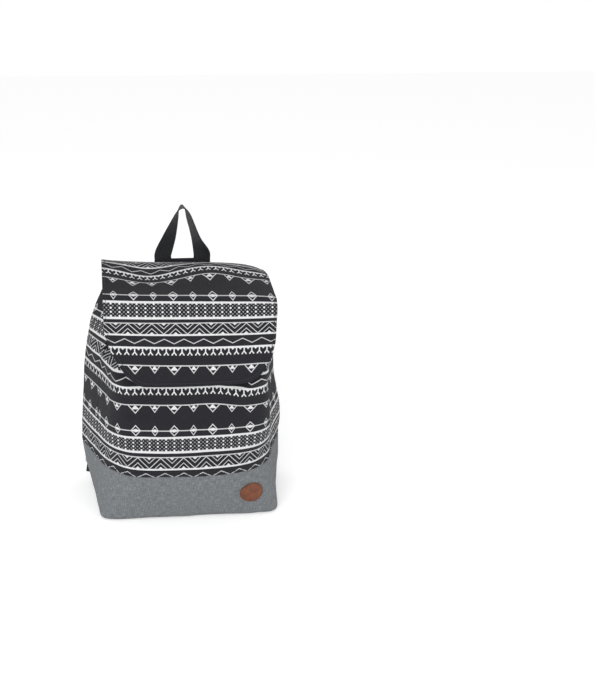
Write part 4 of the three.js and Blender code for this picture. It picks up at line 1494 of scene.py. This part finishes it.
@dataclass
class Flap:
    """The fold-over flap with its lining."""

    finishes: Finishes
    width: float = 240.0
    seam_height: float = 322.0
    top_height: float = 379.0
    hem_height: float = 226.0
    corner_width: float = 44.0
    corner_depth: float = 68.0
    left_corner_width: float = 54.0
    left_corner_depth: float = 90.0
    left_corner_power: float = 1.6
    stand_off: float = 5.0
    hem_lift: float = 2.0
    roof: Table = ((0.94, 0.25), (0.7, 0.0), (0.49, 0.2), (0.25, 0.48), (0.08, 0.68))
    front_shares: tuple[float, ...] = (0.05, 0.2, 0.4, 0.6, 0.8, 1.0)
    side_drop: float = 7.0
    side_power: int = 4
    left_lift: float = 0.4
    slump: float = 3.0
    round_drop: float = 15.0
    round_power: int = 6
    tilt: float = 0.045
    wave_depth: float = 5.0
    swell: Place = (36.0, 42.0)
    hollow: Place = (-56.0, 40.0)
    slack_start: float = 130.0
    slack_length: float = 116.0
    print_tilt: float = 0.024
    print_wave: float = 7.0
    print_shift: float = 31.0
    print_round: float = 1.3
    print_round_length: float = 60.0
    taken_up: Table = (
        (-220.0, -235.0), (-100.0, -113.0), (-72.0, -78.7), (-60.5, -65.1), (-52.0, -50.5),
        (0.0, 0.0), (65.0, 71.8), (140.0, 147.0),
    )
    columns: int = 84
    straight_rows: int = 84
    corner_rows: int = 30

    def profile(self) -> Curve:
        """Middle line of the flap from its back seam to its hem."""
        form = FORM
        lift = form.lining + 5 * form.clear
        peak = self.top_height - form.canvas
        rim = form.mouth_height
        back = form.back_y(0, rim) + lift
        front = form.front_y(0, rim) - self.stand_off - form.lining
        points = [
            (form.back_y(0, self.seam_height) + lift, self.seam_height),
            (back, rim),
        ]
        for share, fall in self.roof:
            points.append((back * share + front * (1 - share), peak - fall * (peak - rim)))
        for share in self.front_shares:
            z = rim + (self.hem_height - rim) * share
            out = self.stand_off + form.lining + self.hem_lift * share * share
            points.append((form.front_y(0, z) - out, z))
        return Curve([Vector((0.0, y, z)) for y, z in points])

    def surface(self, curve: Curve, x: float, along: float) -> Vector:
        """Point of the flap at x, a distance along its profile."""
        form = FORM
        at = curve.at(along).copy()
        behind = at.y > form.back_y(0, form.mouth_height)
        face = form.back_y if behind else form.front_y
        edge = 2 * x / self.width
        drop = self.side_drop * edge ** self.side_power
        on_top = clamp((at.z - form.mouth_height) / (self.top_height - form.mouth_height))
        level = min(at.z, form.mouth_height)
        at.y += (face(x, level) - face(0, level)) * (1 - on_top)
        at.y += 0.0 if behind else drop / 2 * (1 - on_top)
        rounded = self.round_drop * edge ** self.round_power if x > 0 else -drop * self.left_lift
        at.z += self.wave(x) * self.wave_depth * self.slack(curve, along)
        at.z -= (self.slump + rounded + x * self.tilt) * on_top
        at.x = x
        return at

    def wave(self, x: float) -> float:
        """Slack of the flap's top across the bag: a hollow on the left and a swell on the right."""
        return bump_at(x, *self.swell) - bump_at(x, *self.hollow)

    def slack(self, curve: Curve, along: float) -> float:
        """Share of the slack a distance along the profile: full on the top's middle, none at its edges."""
        share = (curve.length - along - self.slack_start) / self.slack_length
        return math.sin(math.pi * clamp(share)) ** 2

    def on_cloth(self, curve: Curve, x: float, along: float) -> Place:
        """Place on the printed cloth, which lies a little askew, wavy and taken up on the bag."""
        up = curve.length - along
        up -= self.print_wave * self.wave(x) * self.slack(curve, along)
        rounded = self.round_drop * max(0.0, 2 * x / self.width) ** self.round_power
        up -= self.print_round * rounded * clamp((up - FLAP_PHASE) / self.print_round_length)
        down = FLAP_PHASE - up - x * self.print_tilt
        return x - self.print_shift, FLAP_PHASE - smooth_through(self.taken_up, down)

    def halves(self, curve: Curve, along: float) -> tuple[float, float]:
        """Reach of the flap to its right and left edges, with its cut corners."""
        right = clamp(1 - (curve.length - along) / self.corner_depth)
        left = clamp(1 - (curve.length - along) / self.left_corner_depth)
        power = self.left_corner_power
        return (
            self.width / 2 - self.corner_width * (1 - math.sqrt(1 - right ** 2)),
            self.width / 2 - self.left_corner_width * (1 - (1 - left ** power) ** (1 / power)),
        )

    def build(self) -> None:
        """Builds the outer cloth and its lining."""
        curve = self.profile()
        points = []
        places = []
        for row in range(self.straight_rows + self.corner_rows + 1):
            turn = max(0.0, (row - self.straight_rows) / self.corner_rows) * math.pi / 2
            straight = (curve.length - self.corner_depth) * min(1.0, row / self.straight_rows)
            along = straight + self.corner_depth * math.sin(turn)
            right, left = self.halves(curve, along)
            line = []
            spots = []
            for column in range(self.columns + 1):
                x = right - (right + left) * column / self.columns
                line.append(self.surface(curve, x, along))
                spots.append(self.on_cloth(curve, x, along))
            points.append(line)
            places.append(spots)
        sheet = Sheet(points, places)
        outer = sheet.solid("flap_cloth", self.finishes.flap_print, 0.0, FORM.canvas)
        settle(outer, Slot.PRINT, ("flap_outer",))
        low = -FORM.clear - FORM.lining
        inner = sheet.solid("flap_lining_cloth", self.finishes.lining, low, -FORM.clear)
        settle(inner, Slot.LINING, ("flap_lining",))
        flat = (self.width * MM, curve.length * MM)
        area = sheet.area()
        self.sew(curve)

    def sew(
        self, curve: Curve, inset: float = 5.0, side_inset: float = 3.5, step: float = 2.5
    ) -> bpy.types.Object:
        """Adds the stitches along the flap's edges.

        Args:
            curve: The flap's profile.
            inset: Distance of the stitches from the seam and the hem.
            side_inset: Distance of the stitches from the sides.
            step: Distance between the points of their path.

        Returns:
            The stitches.
        """
        ends = spaced(inset, curve.length - inset, int(curve.length / step))
        reaches = [self.halves(curve, min(curve.length, along + inset)) for along in ends]
        spots = [(right - side_inset, along) for (right, _), along in zip(reaches, ends)]
        hem_right, hem_left = reaches[-1]
        hem = spaced(hem_right - inset, inset - hem_left, int((hem_right + hem_left) / step))
        spots += [(x, ends[-1]) for x in hem[1:-1]]
        for (_, left), along in zip(reversed(reaches), reversed(ends)):
            spots.append((side_inset - left, along))
        back = spaced(inset - self.width / 2, self.width / 2 - inset, int(self.width / step))
        spots += [(x, inset) for x in back[1:]]
        path = []
        outward = []
        for x, along in spots:
            across = self.surface(curve, x - 1, along) - self.surface(curve, x + 1, along)
            down = self.surface(curve, x, along + 1) - self.surface(curve, x, along - 1)
            outward.append(across.cross(down).normalized())
            path.append(self.surface(curve, x, along) + outward[-1] * FORM.canvas)
        return settle(thread_run("flap_stitches", path, outward, self.finishes.dark_thread), Slot.PRINT)


WELD_PARTS = 100
RIBBON_CORNERS = 4


def untwisted(_: Vector) -> float:
    """No twist anywhere."""
    return 0.0


@dataclass
class Ribbon:
    """A webbing piece, read from its node row by row, in millimetres."""

    node: str
    centres: list[Vector]
    sides: list[Vector]
    thickness: float = 1.6
    row_length: float = 1.6
    curve_steps: int = 12
    across: tuple[float, ...] = (-1.0, -0.985, -0.94, -0.8, -0.5, -0.2, 0.2, 0.5, 0.8, 0.94, 0.985, 1.0)
    selvedge_power: int = 14

    @classmethod
    def read(cls, node: str) -> "Ribbon":
        """Reads the rows of a ribbon node: levels of four corners from one end to the other.

        Args:
            node: Node name.

        Returns:
            The ribbon, in millimetres.
        """
        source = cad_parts[node]
        corners: dict[tuple[int, ...], int] = {}
        points: list[Vector] = []
        links: dict[int, set[int]] = {}
        number = []
        for vertex in source.data.vertices:
            at = source.matrix_world @ vertex.co / MM
            key = tuple(round(value * WELD_PARTS) for value in at)
            if key not in corners:
                corners[key] = len(points)
                points.append(at)
            number.append(corners[key])
        faces = [[number[i] for i in polygon.vertices] for polygon in source.data.polygons]
        for face in faces:
            for a, b in zip(face, face[1:] + face[:1]):
                links.setdefault(a, set()).add(b)
                links.setdefault(b, set()).add(a)
        for start in cls.caps(faces):
            levels = cls.levels(start, links)
            if all(len(level) == RIBBON_CORNERS for level in levels):
                return cls.from_levels(node, points, levels)
        raise ValueError(f"{node} is not a ribbon")

    @staticmethod
    def caps(faces: Sequence[Sequence[int]]) -> Iterable[set[int]]:
        """Sets of four corners that could be an end of the ribbon."""
        owners: dict[tuple[int, int], list[int]] = {}
        for place, face in enumerate(faces):
            if len(face) == RIBBON_CORNERS:
                yield set(face)
            for a, b in zip(face, list(face[1:]) + [face[0]]):
                owners.setdefault((min(a, b), max(a, b)), []).append(place)
        for pair in owners.values():
            if len(pair) == 2:
                both = set(faces[pair[0]]) | set(faces[pair[1]])
                if len(both) == RIBBON_CORNERS:
                    yield both

    @staticmethod
    def levels(start: set[int], links: dict[int, set[int]]) -> list[set[int]]:
        """Corners by their number of steps from the start."""
        seen = set(start)
        found = [set(start)]
        while True:
            after = {b for a in found[-1] for b in links[a]} - seen
            if not after:
                return found
            seen |= after
            found.append(after)

    @classmethod
    def from_levels(cls, node: str, points: Sequence[Vector], levels: Sequence[set[int]]) -> "Ribbon":
        """Middle and half-width direction of each level."""
        centres: list[Vector] = []
        sides: list[Vector] = []
        for level in levels:
            row = [points[i] for i in level]
            near = min(row[1:], key=lambda p: (p - row[0]).length)
            others = [p for p in row[1:] if p is not near]
            one = (row[0] + near) / 2
            other = (others[0] + others[1]) / 2
            side = (one - other) / 2
            if sides and side.dot(sides[-1]) < 0:
                side = -side
            centres.append((one + other) / 2)
            sides.append(side)
        return cls(node, centres, sides)

    def solid(
        self, path: Curve, material: bpy.types.Material, twist: Callable[[Vector], float]
    ) -> bpy.types.Object:
        """Dense webbing with rounded selvedges.

        Args:
            path: Its middle line.
            material: Webbing finish.
            twist: Turn about its own length at a point, in radians.

        Returns:
            The piece.
        """
        edge = Curve([c + s for c, s in zip(self.centres, self.sides)], self.curve_steps)
        count = len(path.samples)
        keep = [0]
        for k in range(1, count - 1):
            if path.reach[k] - path.reach[keep[-1]] >= self.row_length:
                keep.append(k)
        keep.append(count - 1)
        loop = [(a, 1.0) for a in self.across] + [(a, -1.0) for a in reversed(self.across[1:-1])]
        half = self.sides[0].length
        points: list[Vector] = []
        places: list[Place] = []
        faces: list[tuple[int, ...]] = []
        for k in keep:
            ahead = path.samples[min(k + 1, count - 1)]
            behind = path.samples[max(k - 1, 0)]
            along = (ahead - behind).normalized()
            side = edge.samples[k] - path.samples[k]
            side = (side - along * side.dot(along)).normalized()
            side.rotate(Quaternion(along, twist(path.samples[k])))
            out = side.cross(along)
            for share, face in loop:
                rounded = math.sqrt(max(0.0, 1 - abs(share) ** self.selvedge_power))
                thick = self.thickness / 2 * rounded * face
                points.append(path.samples[k] + side * (share * half) + out * thick)
                places.append((share * half, path.reach[k]))
        width = len(loop)
        for j in range(len(keep) - 1):
            for i in range(width):
                a = j * width + i
                b = j * width + (i + 1) % width
                faces.append((a, a + width, b + width, b))
        faces.append(tuple(range(width)))
        last = (len(keep) - 1) * width
        faces.append(tuple(last + i for i in reversed(range(width))))
        name = f"{self.node}_webbing"
        return object_of(name, mesh_of(name, points, faces, places), material)

    def dress(
        self,
        finishes: Finishes,
        held: str,
        rests_on: Sequence[str],
        twist: Callable[[Vector], float] = untwisted,
    ) -> None:
        """Adds the dense webbing in place of its node.

        Args:
            finishes: The made materials.
            held: How it is held; not used.
            rests_on: Nodes that carry it.
            twist: Turn about its own length at a point, in radians.
        """
        path = Curve(self.centres, self.curve_steps)
        piece = settle(self.solid(path, finishes.webbing, twist), Slot.WEBBING, (self.node,))
        list(rests_on)


@dataclass
class Patch:
    """The round leather patch sewn on the base, in millimetres and shares of its radius."""

    finishes: Finishes
    radius: float = 17.5
    squash: float = 0.85
    thickness: float = 1.8
    x: float = 93.0
    height: float = 42.0
    lift: float = 3 * FORM.clear
    probe: float = 0.8
    rings: int = 22
    spokes: int = 72
    underside: Table = ((1.0, 0.2), (0.985, 0.0), (0.5, 0.0))
    rim_start: float = 0.94
    rim_edge: float = 0.45
    seam: float = 0.87
    seam_steps: int = 96
    groove_depth: float = 0.35
    groove_width: float = 0.03
    stitch: float = 2.6
    stitch_gap: float = 0.8
    thread_radius: float = 0.34

    @staticmethod
    def outline_y(x: float, z: float) -> float:
        """Y of the body's front outline at x, round its corners too."""
        ring = FORM.half_ring(z, 0.0, True)
        for a, b in zip(ring, ring[1:]):
            if a.x <= x < b.x and a.y < 0:
                return a.y + (b.y - a.y) * (x - a.x) / (b.x - a.x)
        raise ValueError("off the front")

    def on_cloth(self, across: float, up: float) -> tuple[Vector, Vector]:
        """Point on the cloth and its outward direction, across and up from the patch's middle."""
        at = []
        for dx, dz in ((0.0, 0.0), (self.probe, 0.0), (0.0, self.probe)):
            x = self.x + across + dx
            z = self.height + up + dz
            at.append(Vector((x, self.outline_y(x, z), z)))
        outward = (at[1] - at[0]).cross(at[2] - at[0]).normalized()
        return at[0] + outward * CRUMPLE.at(at[0]), outward

    def build(self) -> None:
        """Builds the disc, its rim and its ring of stitches."""
        points: list[Vector] = []
        places: list[Place] = []
        faces: list[tuple[int, ...]] = []
        layers = [(k / self.rings, self.top(k / self.rings)) for k in range(1, self.rings + 1)]
        layers += [(share, self.lift + rise) for share, rise in self.underside]
        middle, out = self.on_cloth(0.0, 0.0)
        points.append(middle + out * self.top(0.0))
        places.append((0.0, 0.0))
        for share, height in layers:
            for s in range(self.spokes):
                angle = math.tau * s / self.spokes
                across = self.radius * share * math.cos(angle)
                up = self.radius * self.squash * share * math.sin(angle)
                at, out = self.on_cloth(across, up)
                points.append(at + out * height)
                places.append((across, up))
        points.append(middle + out * self.lift)
        places.append((0.0, 0.0))
        last = 1 + (len(layers) - 1) * self.spokes
        for s in range(self.spokes):
            after = (s + 1) % self.spokes
            faces.append((0, 1 + s, 1 + after))
            for ring in range(len(layers) - 1):
                a = 1 + ring * self.spokes
                faces.append((a + s, a + self.spokes + s, a + self.spokes + after, a + after))
            faces.append((len(points) - 1, last + after, last + s))
        mesh = mesh_of("leather_disc", points, faces, places)
        disc = object_of("leather_disc", mesh, self.finishes.leather)
        settle(disc, Slot.LEATHER, ("leather_patch",))
        stitches = settle(self.sew(), Slot.LEATHER)
        2 * self.radius * MM
        2 * self.radius * MM
        math.pi * (self.radius * MM) ** 2

    def sew(self) -> bpy.types.Object:
        """Ring of stitches in the groove."""
        path = []
        outward = []
        sewn = self.radius * self.seam
        for k in range(self.seam_steps + 1):
            angle = math.tau * k / self.seam_steps
            at, out = self.on_cloth(sewn * math.cos(angle), sewn * self.squash * math.sin(angle))
            path.append(at + out * self.top(self.seam))
            outward.append(out)
        thread = self.finishes.tan_thread
        sizes = (self.stitch, self.stitch_gap, self.thread_radius)
        return thread_run("patch_stitches", path, outward, thread, *sizes)

    def top(self, share: float) -> float:
        """Height of the disc's top at a share of its radius, with a rounded rim and a sewn groove."""
        past = max(0.0, (share - self.rim_start) / (1 - self.rim_start))
        rim = math.sqrt(max(0.0, 1 - past ** 2))
        groove = self.groove_depth * bump_at(share, self.seam, self.groove_width)
        return self.lift + self.thickness * (self.rim_edge + (1 - self.rim_edge) * rim) - groove


@dataclass
class Hardware:
    """Nickel rings, hooks and slider."""

    finishes: Finishes

    def dress(self) -> None:
        """Gives the metal nodes their finish."""
        names = ["strap_slider"]
        for side in SIDES:
            names += [f"lower_d_ring_{side}", f"upper_d_ring_{side}", f"hook_{side}", f"gate_{side}"]
            names += [f"gate_pin_{side}", f"swivel_eye_{side}"]
        for name in names:
            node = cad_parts[name]
            node.data.materials.clear()
            node.data.materials.append(self.finishes.nickel)
            LOG.info("%s is nickel", name)


@dataclass
class Straps:
    """Grab handle, strap loop, ring tabs and shoulder strap."""

    finishes: Finishes
    twist: Table = (
        (371.0, 0.0), (386.0, 0.4), (400.0, 0.52), (414.0, 0.4), (428.0, 0.2), (447.0, 0.0),
    )

    def twisted(self, at: Vector) -> float:
        """Twist of the handle's right leg at a point, in radians."""
        return smooth_through(self.twist, at.z) if at.x > 0 else 0.0

    def build(self) -> None:
        """Builds each webbing piece from its node."""
        Ribbon.read("grab_handle").dress(self.finishes, "stretched", ["flap_outer"], self.twisted)
        for name, held, rests_on in (
            ("handle_strip", "stretched", ["grab_handle"]),
            ("strap_loop", "folded", ["back_panel"]),
            ("shoulder_strap", "hung", ["strap_loop", "swivel_eye_left", "swivel_eye_right"]),
            ("lower_tab_left", "folded", ["base_back"]),
            ("lower_tab_right", "folded", ["base_back"]),
            ("upper_tab_left", "folded", ["lining"]),
            ("upper_tab_right", "folded", ["lining"]),
        ):
            Ribbon.read(name).dress(self.finishes, held, rests_on)


# Stage


SUBJECT = Vector((0.0, 0.0, 0.2))
WHITE = (1.0, 1.0, 1.0, 1.0)


@dataclass(frozen=True)
class Camera:
    """Viewpoint of the photograph, in metres and degrees, with its lens in millimetres."""

    yaw: float = 5.09
    elevation: float = 23.0
    roll: float = 0.03
    distance: float = 1.5
    aside: Place = (0.1663, 0.0508)
    lens: float = 52.13
    sensor: float = 36.0
    nearest: float = 0.01

    def build(self) -> None:
        """Places the camera so that the bag stands aside of the middle of its view."""
        data = bpy.data.cameras.new("camera")
        camera = bpy.data.objects.new("camera", data)
        bpy.context.scene.collection.objects.link(camera)
        turn = math.radians(self.yaw)
        lift = math.radians(self.elevation)
        level = math.cos(lift)
        away = Vector((-math.sin(turn) * level, -math.cos(turn) * level, math.sin(lift)))
        place = SUBJECT + away * self.distance
        look = (-away).to_track_quat("-Z", "Y").to_matrix().to_4x4()
        spin = Matrix.Rotation(math.radians(self.roll), 4, "Z")
        camera.matrix_world = Matrix.Translation(place) @ look @ spin
        data.lens = self.lens
        data.sensor_fit = "VERTICAL"
        data.sensor_height = self.sensor
        data.shift_x = self.aside[0] / self.distance * data.lens / data.sensor_height
        data.shift_y = self.aside[1] / self.distance * data.lens / data.sensor_height
        data.clip_start = self.nearest
        bpy.context.scene.camera = camera


@dataclass(frozen=True)
class Lamp:
    """A soft square area lamp that faces the bag, in metres and watts."""

    name: str
    place: tuple[float, float, float]
    size: float
    power: float

    def build(self) -> bpy.types.Object:
        """Places the lamp."""
        data = bpy.data.lights.new(self.name, "AREA")
        data.size = self.size
        data.energy = self.power
        lamp = bpy.data.objects.new(self.name, data)
        bpy.context.scene.collection.objects.link(lamp)
        facing = (SUBJECT - Vector(self.place)).to_track_quat("-Z", "Y")
        lamp.matrix_world = Matrix.Translation(self.place) @ facing.to_matrix().to_4x4()
        return lamp


@dataclass(frozen=True)
class Studio:
    """Pale floor and soft light."""

    floor_reach: float = 6.0
    floor_tone: float = 0.93
    floor_glow: float = 0.3
    sky_strength: float = 0.72
    key: Lamp = Lamp("key", (-1.0, -2.1, 1.1), 1.4, 30.0)
    fill: Lamp = Lamp("fill", (1.6, -1.4, 0.9), 1.6, 10.0)

    def build(self) -> list[bpy.types.Object]:
        """Builds the floor, world and lamps."""
        self.sky()
        return [self.floor(), self.key.build(), self.fill.build()]

    def floor(self) -> bpy.types.Object:
        """Builds the floor, which glows a little where it is looked at."""
        mesh = bpy.data.meshes.new("floor")
        reach = self.floor_reach
        corners = [(-reach, -reach, 0), (reach, -reach, 0), (reach, reach, 0), (-reach, reach, 0)]
        mesh.from_pydata(corners, [], [(0, 1, 2, 3)])
        floor = bpy.data.objects.new("floor", mesh)
        bpy.context.scene.collection.objects.link(floor)
        finish = Finish("pale floor")
        finish.shader.inputs["Base Color"].default_value = (self.floor_tone,) * 3 + (1.0,)
        finish.shader.inputs["Roughness"].default_value = 1.0
        finish.shader.inputs["Specular IOR Level"].default_value = 0.0
        finish.shader.inputs["Emission Color"].default_value = WHITE
        self.seen(finish.tree, 0.0, self.floor_glow).feed(finish.shader.inputs["Emission Strength"])
        mesh.materials.append(finish.material)
        return floor

    def sky(self) -> None:
        """Builds the world, white where it is looked at and dimmer as a light."""
        world = bpy.data.worlds.new("studio")
        world.use_nodes = True
        backdrop = world.node_tree.nodes["Background"]
        backdrop.inputs["Color"].default_value = WHITE
        self.seen(world.node_tree, self.sky_strength, 1.0).feed(backdrop.inputs["Strength"])
        bpy.context.scene.world = world

    @staticmethod
    def seen(tree: bpy.types.NodeTree, unseen: float, seen: float) -> Formula:
        """Value that changes where the camera, a mirror or glass looks straight at a surface."""
        rays = tree.nodes.new("ShaderNodeLightPath").outputs
        looks = Formula(tree, rays["Is Camera Ray"])
        for name in ("Is Glossy Ray", "Is Transmission Ray"):
            looks = looks.most(Formula(tree, rays[name]))
        return looks * (seen - unseen) + unseen


def main() -> None:
    """Dresses the bag and sets the stage."""
    logging.basicConfig(level=logging.INFO, format="%(name)s: %(message)s")
    finishes = Finishes.make()
    Body(finishes).build()
    Flap(finishes).build()
    Patch(finishes).build()
    Straps(finishes).build()
    Hardware(finishes).dress()
    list(Studio().build())
    Camera().build()
    bpy.context.scene.view_settings.view_transform = "Standard"


if __name__ == "__main__":
    main()
